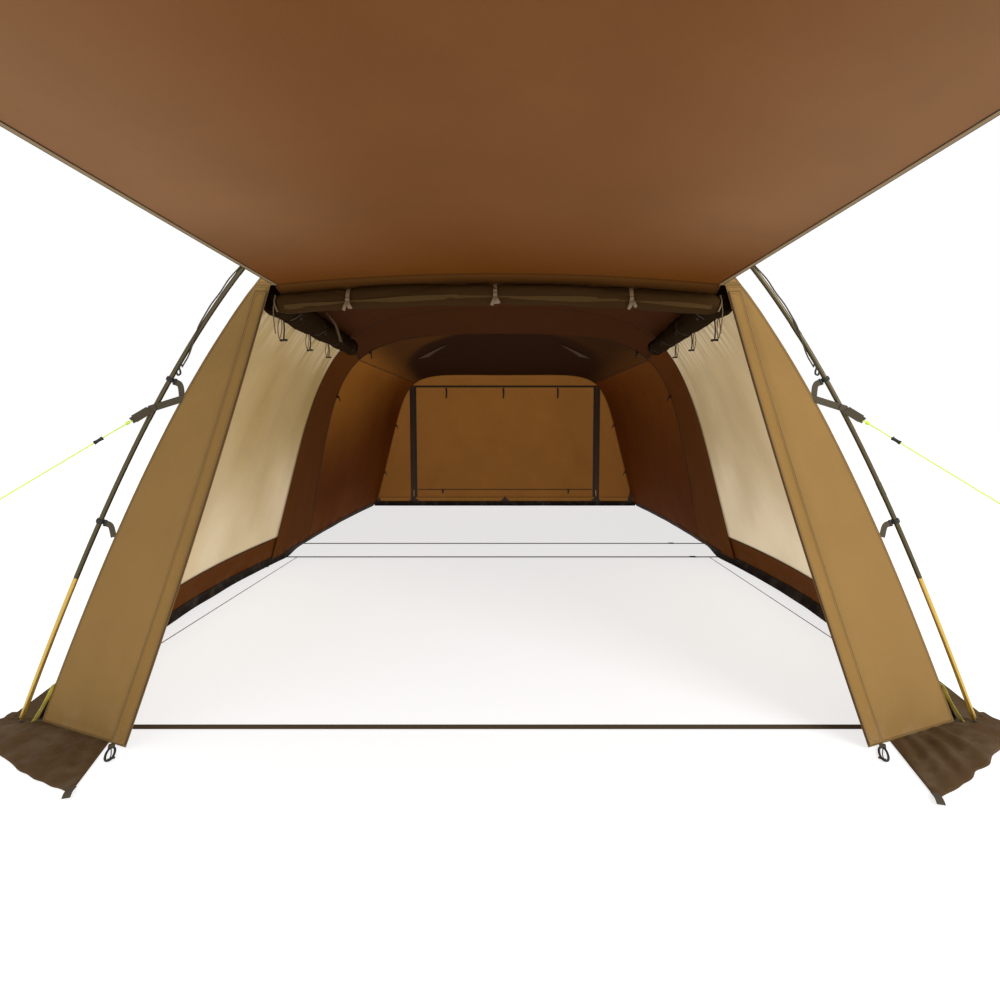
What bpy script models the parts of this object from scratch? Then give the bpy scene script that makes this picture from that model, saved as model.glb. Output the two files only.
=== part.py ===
"""Two-room tunnel tent with a raised front canopy, modelled from its sewn panels, arches and straps.

Units are metres and +Z is up. The tent is laid out from the plane of its front arch: +Y runs
into the tent, +X to the right as seen from the front. The finished frame puts the origin on the
ground under the middle of the whole tent.
"""

import math
from collections import namedtuple

import bmesh
import bpy
from mathutils import Matrix, Vector

# An arch section: the cloth's half outline is one smooth curve from the ground to the ridge.
# depth: how far behind the front arch it stands at the ground
# lean: how far its top leans forward of its foot
# foot: half width of the cloth at the ground
# leg: the curve's first handle, across and up
# shoulder: how far out the curve's second handle lies, at the height of the ridge
# height: the cloth's height at the ridge
Section = namedtuple("Section", "depth lean foot leg shoulder height")
FRONT = Section(0.0, 0.0, 1.63, (1.235, 1.075), 0.755, 2.09)
MIDDLE_FRONT = Section(2.535, 0.0, 1.715, (1.40, 1.65), 1.48, 1.97)
MIDDLE_REAR = Section(3.045, 0.0, 1.72, (1.43, 1.65), 1.55, 1.84)
REAR = Section(5.35, 0.12, 1.645, (1.13, 1.80), 1.46, 1.650)

# A bay is the cloth between two sections.
# flare: how far the walls are pegged out beyond a straight run, halfway along
# sag: how far the roof hangs below a straight run, halfway along
Bay = namedtuple("Bay", "front back flare sag")
LIVING = Bay(FRONT, MIDDLE_FRONT, 0.12, 0.035)
BRIDGE = Bay(MIDDLE_FRONT, MIDDLE_REAR, 0.0, 0.005)
BEDROOM = Bay(MIDDLE_REAR, REAR, 0.03, 0.03)

# Cloth
CLOTH = 0.0015  # thickness of every panel
SEAM = 0.0005  # gap between two panels along their seam
CLEAR = 0.0003  # gap between a piece and what it touches
HINGE_GAP = 0.0009  # gap along a cloth hinge, which lets the panel turn
EAVE = 0.55  # where along the half outline the walls meet the roof
WALL_FOOT = 0.10  # height at which the walls end and the ground skirt begins
BAND_TOP = 0.20  # height at which the side doors begin
CORNER_WIDTH = 0.20  # wall strip between the front arch and the side door
PILLAR_LEAD = 0.115  # wall strip between the side door and the first middle arch
DOOR_FOLD = 0.010  # depth of the gathers in the hanging side doors
DOOR_FOLDS = 9  # number of gathers across a side door

# Front opening
ROOT_HEIGHT = 1.560  # height of the canopy's root seam at its ends
ROOT_HALF = 0.800  # half width of the canopy at its root
ROOT_BOW = 0.040  # rise of the root seam in the middle
WING_GAP = 0.012  # gap between the closed canopy's side and the wing
WING_FORWARD = 0.166  # how far the wing's inner foot is pegged forward
WING_FOOT_HALF = 1.220  # half width of the opening at the ground
WING_LIFT = 0.0023  # height of the wing's lower edge above the ground

# Canopy and its poles
CANOPY_LENGTH = 1.5625
CANOPY_RISE = math.radians(8.8)
CANOPY_HALF = 1.205  # half width of the canopy at its front hem
CANOPY_SAG = 0.018
EYELET_SETBACK = (0.030, 0.055)  # left and right pole behind the hem, so the folded poles pass
EYELET_INSET = 0.055  # pole inside the canopy's side edge
POLE_PIVOT = 0.030  # the pole folds about a point this far below its pin's tip, clear of the sag
PIN_LENGTH = 0.012
PIN_SHARE = 0.4  # radius of the pin, as a share of the pole's
CAP_LENGTH = 0.022
CAP_SHARE = 1.25  # radius of the foot cap, as a share of the pole's
SHOULDER = 0.0005  # length over which a pole steps to its pin or cap

# Arches
HANG = 0.070  # distance of an arch's centre line outside the cloth
POLE_RADIUS = 0.0085
LEG_HEIGHT = 0.489  # height at which the front arch's coloured leg ends
JOINT_GAP = 0.0004
TIP_SHARE = 0.55  # radius of a pole's tip, as a share of the pole's
TIP_LENGTH = 0.014
BEND_START = 0.050  # height below which a pole runs straight down to its tip

# Foot tabs and ground straps
TAB_THICK = 0.002
TAB_WIDTH = 0.025
TAB_TOP = 0.135  # height at which the tab is sewn to the wall
TAB_REACH = 0.022  # length of the tab's plate on each side of the pole's tip
STRAP_WIDTH = 0.030
STRAP_THICK = 0.0018
FRONT_STRAP_DEPTH = -0.034
BUCKLE_WALL = 0.003
BUCKLE_LENGTH = 0.045
BUCKLE_PLACES = (1.50, 1.47)  # across, on the first and second middle strap
STRAP_BEND = 0.140  # how far outside the wing's inner foot the front strap turns back
STRAP_KNEE = 0.045  # how far inside the front section's foot it meets the front arch's line
SIDE_CORD_RADIUS = 0.002
SIDE_CORD_OUT = 0.014  # the cord's front end outside of the front section's foot
SIDE_CORD_IN = 0.005  # the cord's rear end inside of it

# Ground skirts
SKIRT_RUN = 0.060  # horizontal run of the skirt's sloping part
SKIRT_FLAT = 0.110  # width of the skirt's part that lies on the ground
SKIRT_START = 0.022  # depth at which the side skirt begins, behind the front pole's foot tab
SKIRT_END = 0.020  # how far the side skirt runs on past the rear arch
SKIRT_FOLD = 0.006
SKIRT_FOLD_PITCH = 0.165  # distance from one fold to the next along the side
REAR_FOLDS = 20  # number of folds across the rear skirt
CORNER_FOLD = 0.016
CORNER_FOLDS = 5.4  # number of folds across a corner skirt
# Outer edge of a corner skirt: across and depth
CORNER_REACH = (
    (WING_FOOT_HALF + 0.002, -0.420),
    (FRONT.foot - 0.080, -0.280),
    (FRONT.foot + 0.170, -0.035),
)
# Inner edge: across, and how far behind the line of the wing's foot
CORNER_START = ((WING_FOOT_HALF + 0.070, 0.007), (FRONT.foot - 0.030, -0.013))

# Rear wall
REAR_DOOR_HALF = 1.150
REAR_DOOR_TOP = 1.500
REAR_GABLE_START = 0.020  # height of the rear gable's side ends

# Rolled cloth and its ties
MESH_ROLL_RADIUS = 0.038
MESH_ROLL_CREST = 0.0362  # height of the roll's flat crest above its middle
MESH_ROLL_DEPTH = 0.045
MESH_ROLL_DROP = 0.055
MESH_ROLL_HALF = 0.775
MESH_TIES = (-0.540, -0.010, 0.480)  # across
HEADER_LAP = 0.012  # how far the mesh door's header runs up behind the front gable
SIDE_ROLL_RADIUS = 0.040
SIDE_ROLL_SEAT = 0.0415  # centre of a side roll below the eave, square to the cloth
SIDE_ROLL_ENDS = (0.090, 2.400)  # depth
SIDE_TIES = (0.32, 0.93, 1.56, 2.18)  # depth
TIE_WIDTH = 0.018
TIE_SQUEEZE = 0.90  # roll radius under a tie, as a share of the free radius

# Guys
GUY_SEAM_HEIGHT = 1.150  # height at which the strap leaves the front seam
GUY_SEAM_OUT = 0.007  # strap's end outside of the cloth's edge
GUY_POLE_HEIGHT = 1.121  # height at which the strap passes over the front pole
GUY_STRAP_SHARE = 0.041  # the strap's share of the way from the pole to the ground
GUY_GROUND = (2.400, -1.100)
GUY_RADIUS = 0.002
GUY_STRAP_WIDTH = 0.025
GUY_STRAP_THICK = 0.002
RUNNER_START = 0.100  # runner's distance down the line from the strap
RUNNER_LENGTH = 0.030
RUNNER_RADIUS = 0.007
RUNNER_BORE = 0.0026

# Zip sliders and peg hooks
SLIDER_WIDTH = 0.008
SLIDER_LENGTH = 0.016
SLIDER_THICK = 0.004
PULL_LENGTH = 0.026
PULL_THICK = 0.0015
SLIDER_DROP = 0.090  # front sliders below the root seam's ends
SLIDER_OUT = 0.010  # front sliders outside the wing's inner edge
REAR_SLIDER_HEIGHT = 0.125
PEG_HOOK_RADIUS = 0.010
PEG_HOOK_WALL = 0.004
PEG_HOOK_THICK = 0.006
PEG_HOOK_TAIL = 0.055
PEG_HOOK_OUT = 0.035  # how far outside the wing's inner foot

# The origin lies under the middle of the whole length, from the canopy's hem to the rear skirt.
ROOT_DEPTH = -(CLEAR + CLOTH + HINGE_GAP)
FRONT_REACH = -ROOT_DEPTH + CANOPY_LENGTH * math.cos(CANOPY_RISE)
REAR_REACH = REAR.depth + SKIRT_RUN + SKIRT_FLAT
ORIGIN_DEPTH = (REAR_REACH - FRONT_REACH) / 2.0

# Looks: colour, roughness, metallic
TAN = ((0.30, 0.17, 0.08), 0.75, 0.0)
BROWN = ((0.19, 0.095, 0.045), 0.8, 0.0)
CREAM = ((0.72, 0.60, 0.42), 0.7, 0.0)
OLIVE = ((0.055, 0.045, 0.025), 0.8, 0.0)
BLACK = ((0.012, 0.010, 0.009), 0.7, 0.0)
GOLD = ((0.62, 0.42, 0.10), 0.4, 0.6)
POLE_DARK = ((0.09, 0.075, 0.04), 0.45, 0.5)
YELLOW = ((0.60, 0.50, 0.08), 0.7, 0.0)
LIME = ((0.62, 0.85, 0.05), 0.6, 0.0)
STEEL = ((0.6, 0.6, 0.6), 0.35, 1.0)

SIDES = (("left", -1.0), ("right", 1.0))


def clear_scene():
    """Empty the scene."""
    for old in list(bpy.data.objects):
        bpy.data.objects.remove(old, do_unlink=True)


def dress(obj, look):
    """Give an object its own material."""
    colour, roughness, metallic = look
    made = bpy.data.materials.new(obj.name)
    made.use_nodes = True
    shader = made.node_tree.nodes["Principled BSDF"]
    shader.inputs["Base Color"].default_value = (*colour, 1.0)
    shader.inputs["Roughness"].default_value = roughness
    shader.inputs["Metallic"].default_value = metallic
    obj.data.materials.append(made)


def place(name, data, look, origin=(0.0, 0.0, 0.0)):
    """Link data as a named object, in the finished frame; its geometry is laid out in tent depths."""
    obj = bpy.data.objects.new(name, data)
    bpy.context.collection.objects.link(obj)
    start = Vector(origin)
    data.transform(Matrix.Translation(-start))
    obj.location = start - Vector((0.0, ORIGIN_DEPTH, 0.0))
    dress(obj, look)
    return obj


def solid_from(bm, name, look, origin=(0.0, 0.0, 0.0)):
    """Turn a finished bmesh of closed bodies into a named object."""
    bmesh.ops.recalc_face_normals(bm, faces=bm.faces)
    mesh = bpy.data.meshes.new(name)
    bm.to_mesh(mesh)
    bm.free()
    return place(name, mesh, look, origin)


def cloth(name, point, us, vs, look, origin=(0.0, 0.0, 0.0)):
    """Sheet of cloth through point(u, v) at each of the given parameters, thickened evenly."""
    bm = bmesh.new()
    columns, rows = len(us) - 1, len(vs) - 1
    bmesh.ops.create_grid(bm, x_segments=columns, y_segments=rows, size=0.5)
    for vert in bm.verts:
        column = round((vert.co.x + 0.5) * columns)
        row = round((vert.co.y + 0.5) * rows)
        vert.co = point(us[column], vs[row])
    mesh = bpy.data.meshes.new(name)
    bm.to_mesh(mesh)
    bm.free()
    obj = place(name, mesh, look, origin)
    wall = obj.modifiers.new("thickness", "SOLIDIFY")
    wall.thickness = CLOTH
    wall.offset = 0.0
    return obj


def tube(name, points, radius, look, widths=None, resolution=2, origin=(0.0, 0.0, 0.0)):
    """Round bar along points, with flat ends; widths scale its radius point by point."""
    curve = bpy.data.curves.new(name, "CURVE")
    curve.dimensions = "3D"
    curve.bevel_depth = radius
    curve.bevel_resolution = resolution
    curve.use_fill_caps = True
    spline = curve.splines.new("POLY")
    spline.points.add(len(points) - 1)
    for i, (knot, spot) in enumerate(zip(spline.points, points)):
        knot.co = (*spot, 1.0)
        knot.radius = widths[i] if widths else 1.0
    return place(name, curve, look, origin)


def spread(low, high, count):
    """Evenly spaced values, count steps from low to high."""
    return [low + (high - low) * i / count for i in range(count + 1)]


def mix(a, b, share):
    """The value that lies share of the way from a to b."""
    return a + (b - a) * share


def outline(section, t):
    """Across and height of a half outline; t is 0 at the ground and 1 at the ridge."""
    knots = (
        Vector((section.foot, 0.0)),
        Vector(section.leg),
        Vector((section.shoulder, section.height)),
        Vector((0.0, section.height)),
    )
    shares = ((1 - t) ** 3, 3 * t * (1 - t) ** 2, 3 * t * t * (1 - t), t**3)
    return sum((knot * share for knot, share in zip(knots, shares)), Vector((0.0, 0.0)))


def outward(section, t):
    """Unit normal of a half outline, pointing out of the tent."""
    step = 0.0005
    along = outline(section, t + step) - outline(section, t - step)
    return Vector((along.y, -along.x)).normalized()


def at_height(section, height):
    """Parameter t at which a half outline reaches a height."""
    low, high = 0.0, 1.0
    for _ in range(40):
        middle = (low + high) / 2.0
        if outline(section, middle).y < height:
            low = middle
        else:
            high = middle
    return (low + high) / 2.0


def plane(section, height):
    """Depth of a section's leaning plane at a height."""
    return section.depth - section.lean * height / section.height


def skin(bay, share, t, side):
    """Point of a bay's cloth: share runs from its front section to its back one."""
    front, back = outline(bay.front, t), outline(bay.back, t)
    belly = math.sin(math.pi * share)
    wall = max(0.0, 1.0 - t / EAVE) ** 2
    roof = min(1.0, max(0.0, (t - EAVE) / (1.0 - EAVE))) ** 0.7
    across = mix(front.x, back.x, share) + bay.flare * belly * wall
    height = mix(front.y, back.y, share) - bay.sag * belly * roof
    depth = mix(plane(bay.front, front.y), plane(bay.back, back.y), share)
    return Vector((side * across, depth, height))


def skin_at_height(bay, share, height):
    """Parameter t at which a bay's wall reaches a height."""
    return mix(at_height(bay.front, height), at_height(bay.back, height), share)


def share_at(bay, depth):
    """Share of a bay that a depth lies at."""
    return (depth - bay.front.depth) / (bay.back.depth - bay.front.depth)


def seam_step(section, t, distance):
    """Change of t that moves along the outline by a distance."""
    step = 0.0005
    speed = (outline(section, t + step) - outline(section, t - step)).length / (2.0 * step)
    return distance / speed


def inset(bay, low, high):
    """Shares of a bay between two depths, each drawn in by half a seam."""
    return share_at(bay, low + SEAM / 2.0), share_at(bay, high - SEAM / 2.0)


DOOR_FRONT = CORNER_WIDTH
DOOR_REAR = MIDDLE_FRONT.depth - PILLAR_LEAD
FACE = CLOTH / 2.0 + CLEAR


def wall_panel(name, bay, depths, heights, side, look, steps, folds=None):
    """Wall cloth between two depths; heights are (low, high), and high None means the eave."""
    low_share, high_share = inset(bay, *depths)
    rise = seam_step(bay.front, EAVE, SEAM / 2.0)

    def point(u, v):
        share = mix(low_share, high_share, u)
        low = skin_at_height(bay, share, heights[0] + SEAM / 2.0)
        high = EAVE - rise if heights[1] is None else skin_at_height(bay, share, heights[1] - SEAM / 2.0)
        spot = skin(bay, share, mix(low, high, v), side)
        return spot + folds(u, v) if folds else spot

    return cloth(name, point, spread(0.0, 1.0, steps[0]), spread(0.0, 1.0, steps[1]), look)


def roof_panel(name, bay, steps):
    """Roof cloth of a whole bay, eave to eave."""
    low_share, high_share = inset(bay, bay.front.depth, bay.back.depth)
    rise = seam_step(bay.front, EAVE, SEAM / 2.0)

    def point(u, v):
        t = 1.0 - abs(u) * (1.0 - EAVE - rise)
        return skin(bay, mix(low_share, high_share, v), t, math.copysign(1.0, u))

    return cloth(name, point, spread(-1.0, 1.0, steps[0]), spread(0.0, 1.0, steps[1]), BROWN)


def build_roof():
    """The three roof panels."""
    roof_panel("living_roof", LIVING, (20, 8))
    roof_panel("bridge_roof", BRIDGE, (20, 2))
    roof_panel("bedroom_roof", BEDROOM, (20, 8))


def build_walls(label, side):
    """Fixed wall panels of one side."""
    corner, door, rear = (0.0, DOOR_FRONT), (DOOR_FRONT, DOOR_REAR), (MIDDLE_REAR.depth, REAR.depth)
    whole, band = (WALL_FOOT, None), (WALL_FOOT, BAND_TOP)
    wall_panel(f"corner_panel_{label}", LIVING, corner, whole, side, BROWN, (2, 12))
    wall_panel(f"side_band_{label}", LIVING, door, band, side, BROWN, (10, 1))
    wall_panel(f"bedroom_wall_{label}", BEDROOM, rear, whole, side, BROWN, (8, 12))


def build_pillar(label, side):
    """Wall strip that runs from the side door past the first middle arch to the second."""
    rise = seam_step(MIDDLE_FRONT, EAVE, SEAM / 2.0)
    depths = [DOOR_REAR + SEAM / 2.0, MIDDLE_FRONT.depth, MIDDLE_REAR.depth - SEAM / 2.0]
    depths.insert(2, (MIDDLE_FRONT.depth + MIDDLE_REAR.depth) / 2.0)

    def point(depth, v):
        bay = LIVING if depth < MIDDLE_FRONT.depth else BRIDGE
        share = share_at(bay, depth)
        low = skin_at_height(bay, share, WALL_FOOT + SEAM / 2.0)
        return skin(bay, share, mix(low, EAVE - rise, v), side)

    cloth(f"pillar_{label}", point, depths, spread(0.0, 1.0, 12), BROWN)


def door_hinge(side):
    """Front and rear end of a side door's hinge line, along the eave."""
    drop = seam_step(MIDDLE_FRONT, EAVE, HINGE_GAP - SEAM / 2.0)
    low_share, high_share = inset(LIVING, DOOR_FRONT, DOOR_REAR)
    return tuple(skin(LIVING, share, EAVE - drop, side) for share in (low_share, high_share))


def build_side_door(label, side):
    """Hanging translucent side door with its gathers; it turns outward about the eave."""
    low_share, high_share = inset(LIVING, DOOR_FRONT, DOOR_REAR)
    drop = seam_step(MIDDLE_FRONT, EAVE, HINGE_GAP - SEAM / 2.0)
    hinge = door_hinge(side)

    def point(u, v):
        share = mix(low_share, high_share, u)
        low = skin_at_height(LIVING, share, BAND_TOP + SEAM / 2.0)
        spot = skin(LIVING, share, mix(low, EAVE - drop, v), side)
        calm = math.sin(math.pi * u) ** 0.5 * math.sin(math.pi * v) ** 0.7
        wave = math.sin(2.0 * math.pi * DOOR_FOLDS * u + 1.3 * math.sin(5.0 * u) + 0.8 * v)
        return spot + Vector((side * DOOR_FOLD * wave * calm, 0.0, 0.0))

    us, vs = spread(0.0, 1.0, 4 * DOOR_FOLDS), spread(0.0, 1.0, 8)
    return cloth(f"side_door_{label}", point, us, vs, CREAM, hinge[0])


def root_line(across):
    """Height of the root seam at a distance across."""
    return ROOT_HEIGHT + ROOT_BOW * max(0.0, 1.0 - (across / ROOT_HALF) ** 2)


def build_front_gable():
    """Front panel above the opening, from the root seam up to the front arch."""

    def point(u, v):
        spot = outline(FRONT, 1.0 - abs(u) * (1.0 - EAVE))
        across = math.copysign(spot.x, u)
        return Vector((across, -FACE, mix(root_line(across), spot.y, v)))

    cloth("front_gable", point, spread(-1.0, 1.0, 20), spread(0.0, 1.0, 3), TAN)


def wing_line(across):
    """Depth of a wing's lower edge at a distance across."""
    return -FACE - WING_FORWARD * (FRONT.foot - across) / (FRONT.foot - WING_FOOT_HALF)


def wing_inner(share, side):
    """Point of a wing's inner edge; share is 0 at the ground and 1 at the top."""
    across = mix(WING_FOOT_HALF, ROOT_HALF + WING_GAP, share)
    height = mix(WING_LIFT, ROOT_HEIGHT - SEAM, share)
    return Vector((side * across, -FACE - WING_FORWARD * (1.0 - share), height))


def build_wing(label, side):
    """Front panel between the opening and the front arch, pegged forward at its inner foot."""
    start, end = at_height(FRONT, WING_LIFT), at_height(FRONT, ROOT_HEIGHT - SEAM)

    def point(u, v):
        spot = outline(FRONT, mix(start, end, v))
        outer = Vector((side * spot.x, -FACE, spot.y))
        return outer.lerp(wing_inner(v, side), u)

    cloth(f"front_wing_{label}", point, spread(0.0, 1.0, 4), spread(0.0, 1.0, 14), TAN)


def canopy_point(across_share, share, drop=0.0):
    """Point of the canopy; share is 0 at the root and 1 at the hem, drop lies under the cloth."""
    half = mix(ROOT_HALF, CANOPY_HALF, share)
    along = CANOPY_LENGTH * share
    arch = 1.0 - across_share**2
    lift = ROOT_BOW * arch * (1.0 - share) - CANOPY_SAG * arch * math.sin(math.pi * share / 2.0) - drop
    depth = ROOT_DEPTH - along * math.cos(CANOPY_RISE) - lift * math.sin(CANOPY_RISE) * share
    height = ROOT_HEIGHT + along * math.sin(CANOPY_RISE) + lift
    return Vector((half * across_share, depth, height))


def eyelet_place(side):
    """Centre of a canopy eyelet on the canopy's mid surface."""
    setback = EYELET_SETBACK[0] if side < 0 else EYELET_SETBACK[1]
    share = 1.0 - setback / CANOPY_LENGTH
    half = mix(ROOT_HALF, CANOPY_HALF, share)
    return canopy_point(side * (1.0 - EYELET_INSET / half), share)


def build_canopy():
    """Raised front door that forms the canopy; it turns down about its root seam."""
    root = (0.0, ROOT_DEPTH, ROOT_HEIGHT)
    cloth("canopy", canopy_point, spread(-1.0, 1.0, 16), spread(0.0, 1.0, 12), BROWN, root)


def ring(bm, centre, axis, inner, outer, length, sides=12):
    """Closed sleeve about an axis."""
    axis = Vector(axis).normalized()
    across = axis.orthogonal().normalized()
    corners = ((inner, -0.5), (outer, -0.5), (outer, 0.5), (inner, 0.5))
    verts = [bm.verts.new(centre + across * r + axis * (length * h)) for r, h in corners]
    edges = [bm.edges.new((a, b)) for a, b in zip(verts, verts[1:] + verts[:1])]
    turn = 2.0 * math.pi
    bmesh.ops.spin(bm, geom=verts + edges, cent=centre, axis=axis, angle=turn, steps=sides, use_merge=True)


def prism(bm, shape, origin, right, up, length):
    """Solid of a flat outline in the plane of right and up, standing length thick about it."""
    right, up = Vector(right).normalized(), Vector(up).normalized()
    through = right.cross(up).normalized() * length
    base = [Vector(origin) + right * a + up * b - through / 2.0 for a, b in shape]
    face = bm.faces.new([bm.verts.new(spot) for spot in base])
    grown = bmesh.ops.extrude_face_region(bm, geom=[face])
    moved = [item for item in grown["geom"] if isinstance(item, bmesh.types.BMVert)]
    bmesh.ops.translate(bm, verts=moved, vec=through)


def hook_shape(bore, wall, tail, turn=310.0, steps=9):
    """Outline of an open hook round a bar, with a tail along its first axis."""
    outer = bore + wall
    start = math.asin(wall / outer)
    end = math.radians(turn)
    around = [mix(start, end, i / steps) for i in range(steps + 1)]
    shape = [(tail, 0.0), (tail, wall)]
    shape += [(outer * math.cos(a), outer * math.sin(a)) for a in around]
    shape += [(bore * math.cos(a), bore * math.sin(a)) for a in reversed([0.0] + around[1:])]
    return shape


def ribbon(bm, points, width, thick, across=None, flat=None):
    """Flat webbing along points. Its width lies along across, or its thickness along flat."""
    points = [Vector(p) for p in points]
    rings = []
    for i, spot in enumerate(points):
        before = (spot - points[i - 1]).normalized() if i else None
        after = (points[i + 1] - spot).normalized() if i + 1 < len(points) else None
        along = ((before or after) + (after or before)).normalized()
        stretch = 1.0 / max(0.3, along.dot(after or before))
        if across is not None:
            wide = Vector(across).normalized() * (width / 2.0)
            deep = along.cross(wide).normalized() * (thick / 2.0) * stretch
        else:
            deep = Vector(flat).normalized() * (thick / 2.0)
            wide = deep.cross(along).normalized() * (width / 2.0) * stretch
        corners = (spot - wide - deep, spot + wide - deep, spot + wide + deep, spot - wide + deep)
        rings.append([bm.verts.new(corner) for corner in corners])
    for first, second in zip(rings, rings[1:]):
        for k in range(4):
            bm.faces.new((first[k], first[(k + 1) % 4], second[(k + 1) % 4], second[k]))
    bm.faces.new(rings[0][::-1])
    bm.faces.new(rings[-1])


def arch_point(section, t, side):
    """Point of an arch's centre line, outside the cloth at t."""
    spot = outline(section, t) + outward(section, t) * HANG
    return Vector((side * spot.x, plane(section, spot.y), spot.y))


def arch_foot(section, side, support):
    """Lower end of an arch's centre line, run straight on until its tip clears a support."""
    first, second = arch_point(section, 0.0, side), arch_point(section, 0.01, side)
    along = (first - second).normalized()
    dip = POLE_RADIUS * TIP_SHARE * math.hypot(along.x, along.y)
    return first + along * ((first.z - support - CLEAR - dip) / -along.z)


def footed(section, side, ts, support):
    """Centre line from the tip up through the given parameters, and its radius factors."""
    line = [arch_point(section, t, side) for t in ts]
    foot = arch_foot(section, side, support)
    up = (line[0] - foot).normalized()
    shoulder = foot + up * TIP_LENGTH
    points = [foot, shoulder, shoulder + up * CLEAR] + line
    return points, [TIP_SHARE, TIP_SHARE] + [1.0] * (len(line) + 1)


def leg_joint(gap):
    """Parameter of the front arch's leg joint, moved along the arch by a gap."""
    t = at_height(FRONT, LEG_HEIGHT)
    return t + seam_step(FRONT, t, gap)


def build_arches():
    """Front arch with its two coloured legs, two middle arches and the rear arch."""
    ts = spread(leg_joint(JOINT_GAP / 2.0), 1.0, 22)
    left, right = ([arch_point(FRONT, t, side) for t in ts] for _, side in SIDES)
    tube("front_arch_pole", left + right[-2::-1], POLE_RADIUS, POLE_DARK)
    for name, section in (
        ("middle_arch_front", MIDDLE_FRONT),
        ("middle_arch_rear", MIDDLE_REAR),
        ("rear_arch", REAR),
    ):
        ts = spread(at_height(section, BEND_START), 1.0, 18)
        (left, ends), (right, _) = (footed(section, side, ts, CLOTH) for _, side in SIDES)
        tube(name, left + right[-2::-1], POLE_RADIUS, POLE_DARK, ends + ends[-2::-1])
    for label, side in SIDES:
        ts = spread(at_height(FRONT, BEND_START), leg_joint(-JOINT_GAP / 2.0), 4)
        leg, ends = footed(FRONT, side, ts, TAB_THICK)
        tube(f"front_leg_{label}", leg, POLE_RADIUS, GOLD, ends)


def tab_inner():
    """How far out the front foot tab's plate begins."""
    return arch_foot(FRONT, 1.0, TAB_THICK).x - 2.0 * TAB_REACH


def build_foot_tab(label, side):
    """Webbing tab from the front corner down to the plate that the front pole stands on."""
    off = CLOTH / 2.0 + CLEAR + TAB_THICK / 2.0
    share = share_at(LIVING, TAB_WIDTH / 2.0)
    line = []
    for height in (TAB_TOP, WALL_FOOT):
        t = at_height(FRONT, height)
        lift = outward(FRONT, t) * off
        spot = skin(LIVING, share, t, side)
        line.append((spot.x + side * lift.x, 0.0, spot.z + lift.y))
    foot = arch_foot(FRONT, side, TAB_THICK)
    plate = TAB_THICK / 2.0
    line.append((side * tab_inner(), 0.0, plate))
    line.append((foot.x + side * TAB_REACH, 0.0, plate))
    bm = bmesh.new()
    ribbon(bm, line, TAB_WIDTH, TAB_THICK, across=(0.0, 1.0, 0.0))
    solid_from(bm, f"foot_tab_{label}", YELLOW)


def build_straps():
    """Ground straps across the tent at the front and at both middle arches."""
    mid = STRAP_THICK / 2.0
    end = tab_inner() - 2.0 * TAB_THICK
    bend, knee = WING_FOOT_HALF + STRAP_BEND, FRONT.foot - STRAP_KNEE
    right = [(bend, FRONT_STRAP_DEPTH, mid), (knee, 0.0, mid), (end, 0.0, mid)]
    left = [(-x, y, z) for x, y, z in reversed(right)]
    bm = bmesh.new()
    ribbon(bm, left + right, STRAP_WIDTH, STRAP_THICK, flat=(0.0, 0.0, 1.0))
    solid_from(bm, "front_strap", OLIVE)
    for label, section in (("front", MIDDLE_FRONT), ("rear", MIDDLE_REAR)):
        wall = outline(section, at_height(section, WALL_FOOT)).x
        reach = wall + SKIRT_RUN - 1.5 * CLOTH
        ends = [(-reach, section.depth, mid), (reach, section.depth, mid)]
        bm = bmesh.new()
        ribbon(bm, ends, STRAP_WIDTH, STRAP_THICK, flat=(0.0, 0.0, 1.0))
        solid_from(bm, f"middle_strap_{label}", OLIVE)


def build_buckles():
    """Strap adjusters that straddle the middle straps and slide along them."""
    inner = STRAP_WIDTH / 2.0 + CLEAR
    outer = inner + BUCKLE_WALL
    roof = STRAP_THICK + CLEAR
    top = roof + BUCKLE_WALL
    shape = [(-outer, 0.0), (-inner, 0.0), (-inner, roof), (inner, roof)]
    shape += [(inner, 0.0), (outer, 0.0), (outer, top), (-outer, top)]
    rows = (("front", MIDDLE_FRONT, BUCKLE_PLACES[0]), ("rear", MIDDLE_REAR, BUCKLE_PLACES[1]))
    for label, section, across in rows:
        bm = bmesh.new()
        spot = (across, section.depth, 0.0)
        prism(bm, shape, spot, (0.0, 1.0, 0.0), (0.0, 0.0, 1.0), BUCKLE_LENGTH)
        solid_from(bm, f"strap_buckle_{label}", BLACK, spot)


def build_side_cord(label, side):
    """Thin cord on the ground that keeps the front and middle pole feet apart."""
    half = STRAP_WIDTH / 2.0
    height = SIDE_CORD_RADIUS + CLEAR / 3.0
    start = Vector((side * (FRONT.foot + SIDE_CORD_OUT), half + CLEAR, height))
    end = Vector((side * (FRONT.foot - SIDE_CORD_IN), MIDDLE_FRONT.depth - half - CLEAR, height))
    tube(f"side_cord_{label}", [start, end], SIDE_CORD_RADIUS, OLIVE)


def skirt_profile(v, fold):
    """Run out and height of a ground skirt; v is 0 at the wall and 1 at the outer edge."""
    ground = CLOTH / 2.0
    bend = 0.4
    if v < bend:
        share = v / bend
        return SKIRT_RUN * share, mix(WALL_FOOT - SEAM, ground, share)
    share = (v - bend) / (1.0 - bend)
    return SKIRT_RUN + SKIRT_FLAT * share, ground + fold * share * (1.0 - 0.6 * share)


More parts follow.
